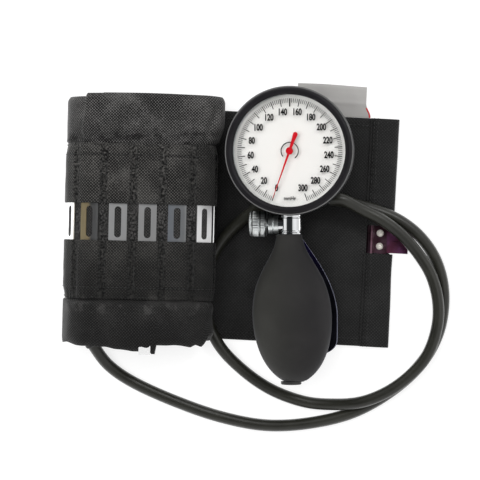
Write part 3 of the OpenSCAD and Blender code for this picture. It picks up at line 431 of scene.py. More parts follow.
def tree_named(name, sizes, material):
    """A new Geometry Nodes tree, its node maker, its inputs and the function that ends it.

    Its inputs are the line that it may follow and one number for each size, all by name.
    """
    tree = bpy.data.node_groups.new(name, "GeometryNodeTree")
    tree.interface.new_socket("Geometry", in_out="OUTPUT", socket_type="NodeSocketGeometry")
    tree.interface.new_socket("Line", in_out="INPUT", socket_type="NodeSocketGeometry")
    for key, size in sizes.items():
        kind = "NodeSocketInt" if isinstance(size, int) else "NodeSocketFloat"
        tree.interface.new_socket(key, in_out="INPUT", socket_type=kind)

    def add(kind, settings=None, values=None):
        node = tree.nodes.new(kind)
        for key, value in (settings or {}).items():
            setattr(node, key, value)
        for key, value in (values or {}).items():
            if isinstance(value, bpy.types.NodeSocket):
                tree.links.new(value, node.inputs[key])
            else:
                node.inputs[key].default_value = value
        return node

    def close(geometry):
        real = add("GeometryNodeRealizeInstances", None, {0: geometry})
        done = add("GeometryNodeSetMaterial", None,
                   {"Geometry": real.outputs[0], "Material": material})
        tree.links.new(done.outputs[0], add("NodeGroupOutput").inputs[0])

    return tree, add, add("NodeGroupInput").outputs, close


def made_mesh(maker):
    """The object's mesh with its modifiers carried out."""
    graph = bpy.context.evaluated_depsgraph_get()
    return bpy.data.meshes.new_from_object(maker.evaluated_get(graph))


def grown(name, tree, sizes, place, material, seed_mesh=None):
    """The tree's result as a plain mesh in its place."""
    seed = bpy.data.objects.new(name + "_seed", seed_mesh or bpy.data.meshes.new(name + "_seed"))
    scene.collection.objects.link(seed)
    grower = seed.modifiers.new("grow", "NODES")
    grower.node_group = tree
    for item in tree.interface.items_tree:
        if item.in_out == "INPUT" and item.name in sizes:
            grower[item.identifier] = sizes[item.name]
    mesh = made_mesh(seed)
    bpy.data.objects.remove(seed)
    return settled(name, mesh, place, material)


def marks_tree(material):
    """Bars set in a row round a dial, from a first angle and with an even step."""
    tree, add, given, close = tree_named("dial_marks", MARK_SIZES, material)
    line = add("GeometryNodeMeshLine", {"mode": "OFFSET"},
               {"Count": given["Count"], "Offset": (0, 0, 0)})
    bar = add("GeometryNodeMeshCube")
    size = add("ShaderNodeCombineXYZ", None,
               {0: given["Width"], 1: given["Length"], 2: given["Thickness"]})
    tree.links.new(size.outputs[0], bar.inputs["Size"])
    out = add("ShaderNodeMath", {"operation": "MULTIPLY_ADD"},
              {0: given["Length"], 1: -0.5, 2: given["Outer"]})
    shift = add("ShaderNodeCombineXYZ", None, {1: out.outputs[0]})
    moved = add("GeometryNodeTransform", None,
                {"Geometry": bar.outputs[0], "Translation": shift.outputs[0]})
    turn = add("ShaderNodeMath", {"operation": "MULTIPLY_ADD"},
               {0: add("GeometryNodeInputIndex").outputs[0], 1: given["Step"], 2: given["First"]})
    spin = add("ShaderNodeCombineXYZ", None, {2: turn.outputs[0]})
    row = add("GeometryNodeInstanceOnPoints", None, {
        "Points": line.outputs[0], "Instance": moved.outputs[0], "Rotation": spin.outputs[0]})
    close(row.outputs[0])
    return tree


MARK_SIZES = {"Count": 1, "Step": 0.0, "First": 0.0, "Outer": 28.45, "Length": 2.35, "Width": 0.2,
              "Thickness": DIAL_PRINT_MM}
SCALE_FIRST = math.radians(-199.5)
SCALE_TURN = math.radians(321)
SCALE_END = 300
ON_DIAL = UNIT_PLACE @ Matrix.Translation((0, 0, (DIAL_FACE_MM + DIAL_PRINT_MM / 2) / 1000))
scale_marks = marks_tree(dial_ink)


def marks(name, first, last, every, **sizes):
    """Marks from one pressure to another on the clockwise scale."""
    chosen = {**MARK_SIZES, **sizes, "Count": (last - first) // every + 1,
              "Step": -SCALE_TURN * every / SCALE_END,
              "First": SCALE_FIRST - SCALE_TURN * first / SCALE_END}
    fitted(grown(name, scale_marks, chosen, ON_DIAL, dial_ink), "dial_white")


marks("marks_every_two", 0, 300, 2, Length=2.3, Width=0.27)
marks("marks_every_ten", 0, 300, 10, Length=4.15, Width=0.44)
marks("mark_at_top", 150, 150, 10, Length=4.5, Width=0.65)


def printed(name, text, size, bolder, narrower, where, steps):
    """Letters in raised ink that stand upright on the dial, as one mesh.

    Bolder is how far each stroke is widened, narrower is the share of the width that is kept,
    and steps is how finely a letter's curves are divided.
    """
    letters = bpy.data.curves.new(name, "FONT")
    letters.body = text
    letters.align_x = letters.align_y = "CENTER"
    letters.size = size
    letters.offset = bolder
    letters.extrude = DIAL_PRINT_MM / 2
    letters.resolution_u = steps
    words = bpy.data.objects.new(name + "_words", letters)
    scene.collection.objects.link(words)
    flat = made_mesh(words)
    bpy.data.objects.remove(words)
    flat.transform(Matrix.Translation((*where, 0)) @ Matrix.Diagonal((narrower, 1, 1, 1)))
    fitted(settled(name, flat, ON_DIAL, dial_ink), "dial_white")


NUMBER_RING = 21.3
NUMBER_HEIGHT = 3.45
CAPITAL_SHARE = 0.7
NUMBER_SIZE, UNIT_SIZE = NUMBER_HEIGHT / CAPITAL_SHARE, 2.8
UNIT_BELOW = 25.6
for pressure in range(0, SCALE_END + 1, 20):
    turn = SCALE_FIRST - SCALE_TURN * pressure / SCALE_END
    printed("number_%d" % pressure, str(pressure), NUMBER_SIZE, 0.18, 0.69,
            (-NUMBER_RING * math.sin(turn), NUMBER_RING * math.cos(turn)), 4)
printed("unit_mmhg", "mmHg", UNIT_SIZE, 0.08, 0.85, (0, -UNIT_BELOW), 12)

ARC_FROM, ARC_TO = math.radians(218.7), math.radians(-53.7)
ARC_INNER, ARC_OUTER = 4.4, 4.95
arc_rings = []
for k in range(61):
    a = ARC_FROM + (ARC_TO - ARC_FROM) * k / 60
    c, s = math.cos(a), math.sin(a)
    arc_rings.append([(r * c, r * s, z * DIAL_PRINT_MM / 2) for r, z in (
        (ARC_INNER, -1), (ARC_OUTER, -1), (ARC_OUTER, 1), (ARC_INNER, 1))])
fitted(skinned("dial_arc", arc_rings, ON_DIAL, dial_ink), "dial_white")

# Pointer. One red blade pressed from thin sheet, with a round weight on its tail, on a domed
# hub that is pushed on the arbor.
POINTER_LIFT = 12.04
POINTER_PLACE = UNIT_PLACE @ Matrix.Translation((0, 0, POINTER_LIFT / 1000)) @ Matrix.Rotation(
    SCALE_FIRST + math.pi / 2, 4, "Z")
pointer_red = clouded("pointer_red", (300, 2), (0.47, 0.002, 0.008, 1), (0.56, 0.004, 0.014, 1),
                      (0.1, 0.34), (1500, 2, 0.00001, 0.4), Specular_IOR_Level=0.12)


def rounded(piece, width, segments, over):
    """The piece's edges that turn by more than so many degrees, rounded off."""
    edge = piece.modifiers.new("rounded_edge", "BEVEL")
    edge.width = width
    edge.segments = segments
    edge.limit_method = "ANGLE"
    edge.angle_limit = math.radians(over)


blade_outline = [(27.2, 0.12), (14, 0.34), (1.5, 0.62), (-1.5, 0.7), (-6.8, 1.0), (-8.6, 1.2)]
blade_outline += [(-9.4 - 1.3 * math.cos(a), 1.3 * math.sin(a)) for a in (
    math.radians(d) for d in (100, 70, 45, 22, 0))]
blade_ring = blade_outline + [(x, -y) for x, y in reversed(blade_outline[:-1])]
blade = skinned("pointer_blade", [[(x, y, z) for x, y in blade_ring] for z in (0.02, 0.44)],
                POINTER_PLACE, pointer_red)
rounded(blade, 0.00012, 2, 30)
hub = turned("pointer_hub", [(0.55, -0.5), (1.8, -0.5), (2.0, -0.3), (2.0, 0.5), (1.88, 0.82),
                             (1.5, 1.0), (0.7, 1.08), (0, 1.1), (0, 0.5), (0.55, 0.5)],
             POINTER_PLACE, pointer_red, 64)
fitted(blade, "pointer_red", "pointer", body="pointer_arbor")
fitted(hub, "pointer_red", body="pointer_arbor")

# Movement. A brass plate movement stands on posts over the capsule, a thin corrugated bronze
# box that swells with the pressure. Its rocker and sector drive the pointer's small gear.
brass = clouded("movement_brass", (700, 3), (0.46, 0.32, 0.11, 1), (0.60, 0.43, 0.17, 1),
                (0.2, 0.22), (1600, 2, 0.00001, 0.4), Metallic=1.0)
dress_solids(brass, "pinion_arbor", "hairspring", "sector_gear", "movement_base", "movement_top",
             "movement_pillars", "movement_posts", "aneroid_capsule", "capsule_pad",
             "outlet_valve_cage", "inlet_valve_cage")
turned_steel = clouded("turned_steel", (500, 2), grey(0.42), grey(0.55), (0.12, 0.2), Metallic=1.0)
dress_solids(turned_steel, "rocker_shaft", "valve_needle", "inlet_valve_ball", "stay_bar")

# Lens. A flat, clear plastic disc with a bevelled edge, held between the gasket and the lip.
finish = Finish("lens_clear")
clear = finish.node("ShaderNodeBsdfTransparent", None, {"Color": grey(0.985)})
sheen = finish.node("ShaderNodeBsdfGlossy", None, {"Roughness": 0.03})
finish.end(finish.node("ShaderNodeMixShader", None, {
    0: finish.node("ShaderNodeFresnel", None, {"IOR": 1.35}) * 0.6, 1: clear, 2: sheen}))
dress_solids(finish.material, "lens")

# Valve. A turned and chromed neck joins the case to the bulb. It is drilled from its left side,
# where a gland nut carries the release screw with its needle and its fluted knob.
chrome = clouded("chrome", (240, 4), (0.70, 0.71, 0.72, 1), (0.80, 0.81, 0.82, 1), (0.05, 0.04),
                 (1200, 2, 0.000004, 0.3), Metallic=1.0)
finish = Finish("satin_chrome")
satin_haze = finish.noise(300, 4)
# Painted shade: dark bands in the fluted knob's three grooves, where shade falls.
SHADED_GROOVES = (0.00815, 0.01245, 0.01535)
satin_way = finish.axis(0)
groove_shade = sum(satin_way.near(groove, 0.0002, 0.00036) for groove in SHADED_GROOVES)
satin_chrome = finish.surface(
    Base_Color=finish.mix(groove_shade.clamped() * 0.9, finish.mix(
        satin_haze, (0.74, 0.77, 0.77, 1), (0.86, 0.89, 0.885, 1)), grey(0.02)), Metallic=1.0,
    Roughness=satin_haze * 0.12 + 0.28,
    Normal=finish.bump(finish.noise(1500, 2), 0.000006, 0.4))
dress_solids(chrome, "hose_nipple")
dress_solids(satin_chrome, "gland_nut", "spoon_screw", "valve_spindle")
seal_rubber = clouded("seal_rubber", (800, 2), grey(0.01), grey(0.02), (0.2, 0.5))
dress_solids(seal_rubber, "spindle_seal", "outlet_valve_disc", "inlet_valve_body")

neck_outline = [(1.2, 26.0), (4.5, 26.0), (4.5, 30.4), (5.5, 30.4), (5.9, 30.8), (5.9, 34.9),
                (5.75, 35.15), (5.62, 35.3), (5.62, 35.9), (5.75, 36.05), (5.9, 36.3), (5.9, 42.9),
                (5.75, 43.1), (5.6, 43.3), (5.6, 43.9), (5.75, 44.1), (5.9, 44.3), (5.9, 44.75),
                (5.6, 45.0), (4.4, 45.0), (4.4, 56.0), (2.4, 56.0), (2.4, 52.6), (1.2, 52.6)]
SIDE_BORE_Y = -0.0392
SIDE_WAY = UNIT_PLACE @ placed((0, SIDE_BORE_Y, 0), -90, "Y")
neck = turned("valve_neck", neck_outline, UNIT_PLACE @ placed((0, 0, 0), 90, "X"), chrome, 96,
              "joined", 30)
boss = turned("valve_side_boss", [(4.0, 4.2), (4.95, 4.2), (4.95, 6.74), (4.7, 6.8), (2.0, 6.8),
                                  (2.0, 5.0)], SIDE_WAY, chrome, 72, "open", 30)
drill = turned("side_drill", [(0, 1.0), (2.0, 1.0), (2.0, 8.0), (0, 8.0)], SIDE_WAY, chrome, 48)
side_bore = neck.modifiers.new("side_bore", "BOOLEAN")
side_bore.operation = "DIFFERENCE"
side_bore.object = drill
bored = made_mesh(neck)
neck.modifiers.clear()
neck.data = bored
bpy.data.objects.remove(drill)
fitted(neck, "valve_chrome", "valve_body")
fitted(boss, "valve_chrome")

KNOB_FLUTES = 34
KNOB_LEFT = -0.0229
FLUTE_DEEP = 0.15
knob_stations = [(0, 5.4, 0), (0.02, 6.0, 0.2), (0.3, 6.5, 0.7), (0.6, 6.85, 1), (1.4, 7.1, 1),
                 (1.5, 6.42, 0), (1.62, 6.4, 0), (1.98, 6.4, 0), (2.02, 7.0, 1), (2.2, 7.1, 1),
                 (5.5, 7.1, 1), (5.66, 6.95, 1), (5.7, 6.42, 0), (6.16, 6.42, 0), (6.2, 6.95, 1),
                 (6.35, 7.1, 1), (8.5, 7.1, 1), (8.58, 6.95, 1), (8.62, 6.4, 0), (9.1, 6.4, 0),
                 (9.14, 6.8, 0.7), (9.5, 6.5, 0.4), (9.78, 6.1, 0), (9.8, 5.6, 0), (9.8, 1.95, 0),
                 (2.1, 1.95, 0), (2.0, 0, 0)]
knob_rings = []
for high, wide, deep in [(0, 0, 0)] + knob_stations:
    ring = []
    for k in range(KNOB_FLUTES * 8):
        a = 2 * math.pi * k / (KNOB_FLUTES * 8)
        r = wide - FLUTE_DEEP * deep * (0.5 - 0.5 * math.cos(KNOB_FLUTES * a)) ** 0.8
        ring.append((r * math.cos(a), r * math.sin(a), high))
    knob_rings.append(ring)
knob = skinned("fluted_knob", knob_rings,
               UNIT_PLACE @ placed((KNOB_LEFT, SIDE_BORE_Y, 0), 90, "Y"), satin_chrome, "open", 30)
fitted(knob, "valve_chrome", "release_knob", body="knob")

# Bulb. A dipped and moulded rubber pear, matt black, with a thick rolled neck over the valve's
# barb and a small flat mouth that holds the inlet valve.
BULB_TOP = 45.0
BULB_LONG = 80.0
BULB_ACROSS = 43.2
BULB_SLACK = 0.001

curve = geometry.interpolate_bezier
belly = BULB_ACROSS / 2
bulb_up = [(7.1, 0), (7.6, BULB_LONG * 0.17), (belly * 0.98, BULB_LONG * 0.24),
           (belly, BULB_LONG * 0.55)]
bulb_down = [(belly, BULB_LONG * 0.55), (belly, BULB_LONG * 0.79), (belly * 0.68, BULB_LONG * 0.94),
             (5.6, BULB_LONG)]
bulb_neck = [(4.45, 0), (6.3, 0.02), (6.85, 0.2), (7.08, 0.6), (7.14, 1.2), (7.02, 1.6)]
bulb_mouth = [(5.75, 79.3), (5.55, 79.8), (5.2, 80), (4.1, 80), (4.1, 76)]
bulb_inside = [(9, 68), (16, 60), (19.2, 44), (15, 30), (7.5, 20), (4.6, 14), (4.45, 12)]
bulb_side = [(r, t) for r, t in curve(*bulb_up, 29)[1:] + curve(*bulb_down, 29)[1:-1] if t > 1.7]
bulb_outline = bulb_neck + bulb_side + bulb_mouth + bulb_inside
finish = Finish("bulb_rubber")
bloom = finish.noise(34, 5, rough=0.6)
# Painted shade: the rubber is lighter and warmer on its left side and darker and cooler towards +X.
bulb_black = finish.surface(
    Base_Color=finish.mix(
        finish.axis(0).step(0.0, 0.045),
        finish.mix(bloom.step(0.35, 0.72), (0.031, 0.031, 0.0275, 1), (0.04, 0.04, 0.036, 1)),
        finish.mix(bloom.step(0.35, 0.72), (0.0135, 0.0128, 0.0135, 1),
                   (0.02, 0.0188, 0.0195, 1))),
    Roughness=bloom * 0.12 + 0.6, Sheen_Weight=0.12, Sheen_Roughness=0.25,
    Sheen_Tint=(0.85, 0.88, 1.0, 1), Specular_IOR_Level=0.16,
    Normal=finish.bump(finish.noise(1100, 3) + finish.noise(150, 3) * 2, 0.00003, 0.5))
bulb_shell = turned("bulb_shell", bulb_outline,
                    UNIT_PLACE @ placed((0, -BULB_TOP / 1000, 0), 90, "X"), bulb_black, 160,
                    "joined", 50)
# The soft bulb lies askew: its neck is a millimetre to the left and its mouth two to the right.
for point in bulb_shell.data.vertices:
    down = (UNIT_PLACE.translation.y - BULB_TOP / 1000 - point.co.y) / (BULB_LONG / 1000)
    point.co.x += BULB_SLACK * (2.9 * down - 1.1)
fitted(bulb_shell, "bulb_rubber", "bulb")

# Palm spoon. A blade of sheet steel, lacquered glossy black, bent along the bulb's back and
# dished across, so that the unit lies in the palm. A screw holds it under the valve.
SPOON_THICK = 1.2
SPOON_OFF = 1.6
spoon_spine = [(5.95, -8), (5.95, -5.5), (5.97, -4), (6.1, -3), (6.7, -1.4), (7.8, 0.2), (8.7, 1.4)]
spoon_spine += [(r + SPOON_OFF, t) for r, t in curve(*bulb_up, 49) if t > 2.6]
spoon_spine += [(r + SPOON_OFF, t) for r, t in curve(*bulb_down, 97)[1:51]]
spoon_end = spoon_spine[-1][1]


def spoon_half(t):
    if t < 0:
        return 4
    grow = 4 + 20.6 * math.sin(math.pi / 2 * min(1, t / 46))
    return grow * math.sqrt(max(1 - (max(0, t - 56) / (spoon_end - 55.7)) ** 3, 0.0001))


spoon_rings = []
for r, t in spoon_spine:
    half = spoon_half(t)
    over = [(half * c / (10 if c > 0 else 12.4), -45 - t, (half * c / 10) ** 2 / 68 - r)
            for c in range(-10, 11)]
    ring = over + [(x, y, z - SPOON_THICK) for x, y, z in reversed(over)]
    spoon_rings.append(ring)
finish = Finish("spoon_lacquer")
spoon_wear = finish.noise(60, 5, rough=0.6)
spoon_share = finish.axis(0, finish.along())
# Painted highlight: a thin pale blue line along both long edges of the blade.
spoon_rim_highlight = (spoon_share - 0.5).math("ABSOLUTE").step(0.488, 0.4935)
# Painted reflection: the black lacquer turns violet towards the blade's upper end in +Y.
spoon_black = finish.surface(
    Base_Color=finish.mix(
        spoon_rim_highlight,
        finish.mix(finish.axis(1).step(-0.03, 0.005),
                   finish.mix(spoon_wear.step(0.45, 0.7), (0.006, 0.006, 0.009, 1),
                              (0.012, 0.012, 0.018, 1)),
                   (0.012, 0.008, 0.06, 1)),
        (0.27, 0.28, 0.36, 1)),
    Roughness=spoon_wear * 0.12 + 0.1, Coat_Weight=1.0, Coat_Roughness=0.05,
    Normal=finish.bump(finish.noise(500, 2), 0.000012, 0.4))
spoon_shares = [k / 20 for k in range(21)]
spoon = skinned("palm_spoon_blade", spoon_rings, UNIT_PLACE, spoon_black, "caps", 40,
                spoon_shares + spoon_shares[::-1] + [0])
rounded(spoon, 0.00035, 3, 50)
fitted(spoon, "spoon_black", "palm_spoon")

# Cuff wrap. The outer turn of the rolled cuff is coated charcoal twill over a thin wadding. Its
# section is two round bends joined by straight runs, and it is drawn in where the bands are sewn.
ROLL_PLACE = placed((-0.0533, 0.0064, 0), -1.4, "Z")
ROLL_LONG = 136.0
LEFT_BEND, LEFT_R = (-21.1, 20.0), 20.0
RIGHT_BEND, RIGHT_R = (29.1, 24.5), 12.0
bend_apart = math.dist(LEFT_BEND, RIGHT_BEND)
bend_tilt = math.atan2(RIGHT_BEND[1] - LEFT_BEND[1], RIGHT_BEND[0] - LEFT_BEND[0])
TOP_ANGLE = bend_tilt + math.acos((LEFT_R - RIGHT_R) / bend_apart)
LOW_ANGLE = 2 * bend_tilt - TOP_ANGLE
STRAIGHT = math.sqrt(bend_apart ** 2 - (LEFT_R - RIGHT_R) ** 2)
RIGHT_RUN = RIGHT_R * (TOP_ANGLE - LOW_ANGLE)
LEFT_RUN = LEFT_R * (2 * math.pi + LOW_ANGLE - TOP_ANGLE)
GIRTH = 2 * STRAIGHT + RIGHT_RUN + LEFT_RUN
BAND_HIGH = (8.0, 40.6)
BAND_LOW = (-43.7, -12.0)
SINK = 2.0


def on_roll(s, rise):
    """The point at s millimetres along the cloth from the left bend's top, raised off it."""
    s %= GIRTH
    angle = TOP_ANGLE
    centre, radius, run = LEFT_BEND, LEFT_R, s
    if STRAIGHT <= s < STRAIGHT + RIGHT_RUN:
        centre, radius, run = RIGHT_BEND, RIGHT_R, 0
        angle = TOP_ANGLE - (s - STRAIGHT) / RIGHT_R
    elif STRAIGHT + RIGHT_RUN <= s < GIRTH - LEFT_RUN:
        centre, radius, run = RIGHT_BEND, RIGHT_R, s - STRAIGHT - RIGHT_RUN
        angle = LOW_ANGLE
    elif s >= GIRTH - LEFT_RUN:
        run = 0
        angle = LOW_ANGLE + 2 * math.pi - (s - GIRTH + LEFT_RUN) / LEFT_R
    c, d = math.cos(angle), math.sin(angle)
    return (centre[0] + (radius + rise) * c + run * d, centre[1] + (radius + rise) * d - run * c)


def over_roll(s, v, rise):
    """The same point with its place v along the roll."""
    x, z = on_roll(s, rise)
    return (x, v, z)


def smooth(x, low, high):
    u = min(1, max(0, (x - low) / (high - low)))
    return u * u * (3 - 2 * u)


def hump(x, middle, width):
    return math.exp(-((x - middle) / width) ** 2)


def crumple(x, y, size, seed=0.0):
    return noise.noise(Vector((x / size, y / size, seed)))


def wrap_rise(s, y):
    """How far the outer cloth stands off its plain section."""
    s = (s + 60) % GIRTH - 60
    low, high = BAND_LOW[0], BAND_HIGH[1]
    leftward = smooth(-s, 15, 27)
    plain = 1.0 - 0.95 * leftward
    drawn_in = smooth(y, low - 3 + 2 * leftward, low + 0.5)
    drawn_in *= smooth(-y, -high - 9 + 8 * leftward, -high + 1.5)
    rise = plain - (SINK + plain) * drawn_in
    outside = 1 - smooth(y, low - 3, low) * smooth(-y, -high - 3, -high)
    upper = smooth(y, high, high + 2)
    end = max(0, abs(y) - ROLL_LONG / 2 + 4) / 4
    rise -= 1.5 * end ** 2.2 * (1 - 0.75 * leftward * (y < 0))
    lap = -10.2 - 2.6 * smooth(-y, -66, -42)
    rise -= 1.0 * upper * (1 - smooth(s, lap - 0.5, lap + 0.4)) * smooth(s, -25, -15)
    rise += 3.2 * upper * hump(s, STRAIGHT + RIGHT_RUN * 0.52, 13)
    dents = 1.2 * crumple(s, y, 34, 3) + 0.5 * crumple(s, y, 9, 5)
    rise += outside * (1 - 0.7 * leftward) * dents
    rise -= 0.9 * upper * hump(s + 0.9 * y, 81 if s > 0 else 200, 4.5) * hump(y, 62, 6)
    rise -= 1.7 * upper * hump(0.8 * s + 0.6 * y, 57, 1.3) * hump(y, 59, 6) * (s > 0)
    rise -= 1.6 * upper * hump(s - 0.3 * (y - 47), 56.3, 1.7) * hump(y, 54, 9)
    rise -= 0.9 * upper * hump(y, high + 6, 5) * (0.5 + 0.5 * math.sin(s / 9.0)) * (1 - leftward)
    rise += 0.9 * (1 - leftward) * hump(y, low - 4.5, 3) * crumple(s, y, 4.5, 11)
    return rise


WORN_EDGE = [(-60, 0), (-19, 0), (-6, 1.45), (7, 2.2), (21, 3.8), (27.8, 4), (28.2, 5.2),
             (30.7, 5.2), (31.3, 0.3), (45, 0.5), (49.6, 0.8), (52.3, -0.7), (56, 0.3),
             (58.5, -1.5), (60.5, -3.9), (66, -4.2), (82, 0), (200, 0)]


def wrap_end(s, y):
    """The worn lower edge hangs out unevenly, and the upper one is nearly straight."""
    low = smooth(-y, 50, 68)
    high = smooth(y, 56, 68)
    turn = (s + 60) % GIRTH - 60
    for (a, below), (b, above) in zip(WORN_EDGE, WORN_EDGE[1:]):
        if a <= turn <= b:
            hang = below + (above - below) * (turn - a) / (b - a)
    strip = smooth(turn, -56, -44) * (1 - smooth(turn, -10.8, -9.8))
    ragged = 0.25 * math.sin(s / 3.1) + 0.6 * crumple(s, 4, 6)
    return y + low * (ragged - hang) + high * (0.35 * math.sin(s / 17.0) - 0.3 - 1.7 * strip)


TWILL_RIBS = (610, 640)
TWILL_RELIEF = 0.00022


def twill(name, pale, deep, lower_shade=None, dense=1.0, rough=(0.5, 0.66), sheen=0.06, seams=None,
          shaded_hem_at=None, wear_and_shade_patches=(), side=None):
    """Coated twill: fine diagonal ribs that follow the cloth's own UV map, with patches of wear and
    painted shade.

    The seams are a first place, a pitch and where they start and end along the cloth, in metres;
    there the cloth is crushed between two rows of thread. The shaded hem is a place along the cloth
    where a line of painted shade lies in the hem's groove. Each patch is a place along the cloth,
    its half width and how much paler it is: a paler one is rubbed wear lightened further as painted
    light, and a darker one is painted shade. The lower shade darkens the cloth as painted shade
    towards -Y and the side does so towards +X: two places and the share that is left.
    """
    cloth = Finish(name)
    weave = cloth.along()
    u, v = cloth.axis(0, weave), cloth.axis(1, weave)
    knots = (u + v).wave(TWILL_RIBS[0] * dense) * (u - v).wave(TWILL_RIBS[1] * dense)
    rub = cloth.noise(46, 5, rough=0.62)
    speck = cloth.noise(1500, 2)
    shade = (rub.step(0.34, 0.72) * 0.36 + knots.step(0.12, 0.6) * 0.62
             + speck.step(0.3, 0.75) * 0.3 - 0.2)
    height = knots + speck * 0.3
    if seams:
        first, pitch, low, high = seams
        near = (((u - first) / pitch + 0.5).math("FRACT") - 0.5).math("ABSOLUTE") * pitch
        zone = (1 - near.step(0.0015, 0.0029)) * v.step(low, low + 0.0008)
        zone = zone * (1 - v.step(high - 0.0008, high))
        crushed = cloth.noise(820, 3, rough=0.7).step(0.4, 0.64)
        shade = shade * (1 - zone) + (crushed * 0.66 - 0.03) * zone
        height = height + crushed * zone * 3
    # A dark line of painted shade in the hem's groove.
    if shaded_hem_at:
        shade = shade - v.near(shaded_hem_at, 0.0003, 0.0011) * rub.step(0.4, 0.6) * 0.3
    # Patches paler with rubbed wear and painted light, or darker with painted shade.
    for place, reach, gain in wear_and_shade_patches:
        patch = cloth.noise(150, 3, rough=0.6).step(0.5, 0.68)
        shade = shade + patch * v.near(place, reach * 0.4, reach) * gain
    # Painted shade: the cloth darker towards -Y.
    if lower_shade:
        shade = shade * cloth.axis(1).step(*lower_shade[:2]).math("MULTIPLY_ADD", 1 - lower_shade[2], lower_shade[2])
    # Painted shade: the cloth darker towards +X.
    if side:
        shade = shade * cloth.axis(0).step(*side[:2]).math("MULTIPLY_ADD", side[2] - 1, 1)
    return cloth.surface(
        Base_Color=cloth.mix(shade.clamped(), deep, pale),
        Roughness=rub * (rough[1] - rough[0]) + rough[0], Sheen_Weight=sheen, Sheen_Roughness=0.5,
        Specular_IOR_Level=0.14, Normal=cloth.bump(height, TWILL_RELIEF, 0.8))


SEAM_CLOTH = (0.0555, 0.0765)
PLATES = 7
PLATE_PITCH = 16.0
FIRST_PLATE = -7.2 - PLATE_PITCH
seam_spots = [FIRST_PLATE + (k - 0.5) * PLATE_PITCH for k in range(PLATES + 1)]
SEAM_WAY = (seam_spots[0] / 1000, PLATE_PITCH / 1000)
# Painted shade darkens the wrap towards -Y; below the lower band the cloth is paler with rubbed
# wear and painted light, and above the upper band a patch of painted shade lies in the dip.
cuff_twill = twill("cuff_twill", (0.165, 0.160, 0.156, 1), grey(0.003), (-0.075, 0.06, 0.1),
                   seams=(*SEAM_WAY, *SEAM_CLOTH),
                   wear_and_shade_patches=((0.0222, 0.005, 0.5), (0.114, 0.009, -0.4)))

WRAP_STEPS = 220
WRAP_DEEP = 4.75
WRAP_LOWEST = 0.08
outer_rows = [-67.9, -67.5, -67, -66.3, -65.5] + [-64.5 + 1.05 * k for k in range(124)]
outer_rows = [y for y in outer_rows if y < 65] + [65.5, 66.3, 67, 67.5, 67.9]
wrap_spots = [GIRTH * k / WRAP_STEPS for k in range(WRAP_STEPS)]
wrap_rings = []
for y in outer_rows:
    wrap_rings.append([(x, wrap_end(s, y), max(z, WRAP_LOWEST)) for s in wrap_spots
                       for x, z in [on_roll(s, wrap_rise(s, y))]])
for y, deep in ((67.6, 2.6), (66.8, 4.2), (65, WRAP_DEEP), (30, WRAP_DEEP), (-30, WRAP_DEEP),
                (-65, WRAP_DEEP), (-66.8, 4.2), (-67.6, 2.6)):
    wrap_rings.append([over_roll(s, wrap_end(s, y), -deep) for s in wrap_spots])
wrap_across = [((s + 60) % GIRTH - 60) / 1000 for s in wrap_spots] + [0]
cuff_wrap = skinned("cuff_wrap", wrap_rings, ROLL_PLACE, cuff_twill, "joined", 60, wrap_across)
fitted(cuff_wrap, "cuff_cloth", "cuff_roll")

# Inner turns and bladder. The cloth goes on round inside as one spiral, and at its heart lies
# the flattened rubber bag that the pump fills. Both show at the roll's two open ends.
CORE_THICK = 1.9
CORE_TURNS = 1.5
CORE_IN = 5.2
CORE_PITCH = 2.4
CORE_STEPS = 150
core_spots = [k / CORE_STEPS for k in range(int(CORE_STEPS * CORE_TURNS) + 1)]
core_rings = []
for y in [-66, -65.4, -64] + [-60 + 10 * k for k in range(13)] + [64, 65.4, 66]:
    thin = CORE_THICK * (0.72 if abs(y) > 65.8 else 1)
    faces = []
    for side in (-thin, thin):
        face = []
        for t in core_spots:
            deep = CORE_IN + CORE_PITCH * t + (CORE_THICK + side) / 2
            deep += 0.12 * math.sin(11 * t + y * 0.05)
            sway = 0.35 * math.sin(5 * t + 1) * (abs(y) > 60)
            face.append(over_roll(GIRTH * t, y + sway, -deep))
        faces.append(face)
    core_rings.append(faces[0] + faces[1][::-1])
core_twill = twill("core_twill", grey(0.035), grey(0.010), None, 0.9)
cuff_core = skinned("cuff_inner_turns", core_rings, ROLL_PLACE, core_twill, "caps", 60)
fitted(cuff_core, "cuff_cloth", "cuff_core")

bladder_rubber = clouded("bladder_rubber", (80, 4), (0.032, 0.026, 0.022, 1),
                         (0.07, 0.06, 0.052, 1), (0.2, 0.5), (900, 2, 0.00003, 0.5))
BLADDER_DEEPEST = 11.8
BLADDER_STEPS = 120
bladder_rows = [(-64, 13), (-63.9, 12.2), (-63.2, 11.5), (-62, 11.2)]
bladder_rows += [(-50 + 10 * k, 11.1) for k in range(11)] + [
    (-y, deep) for y, deep in reversed(bladder_rows)]
bladder_rings = []
for y, deep in bladder_rows:
    ring = [over_roll(GIRTH * k / BLADDER_STEPS, y, -min(deep, BLADDER_DEEPEST))
            for k in range(BLADDER_STEPS)]
    if deep > BLADDER_DEEPEST + 1:
        ring = [(x * 0.985 - 0.02, y, z * 0.985 + 0.3) for x, y, z in ring]
    bladder_rings.append(ring)
bladder = skinned("bladder_bag", bladder_rings, ROLL_PLACE, bladder_rubber, "caps", 50)
fitted(bladder, "bladder_rubber", "bladder")

# Channel bands. Two strips of the same twill are stitched down across the roll, with a channel
# between each two double seams that holds one end of a steel plate.
BAND_FROM, BAND_TO = -36.0, FIRST_PLATE + (PLATES - 0.5) * PLATE_PITCH
BAND_THICK = 0.8
BAND_STEPS = 180
BAND_HEM = 6.3
SEAM_HALF = 1.25


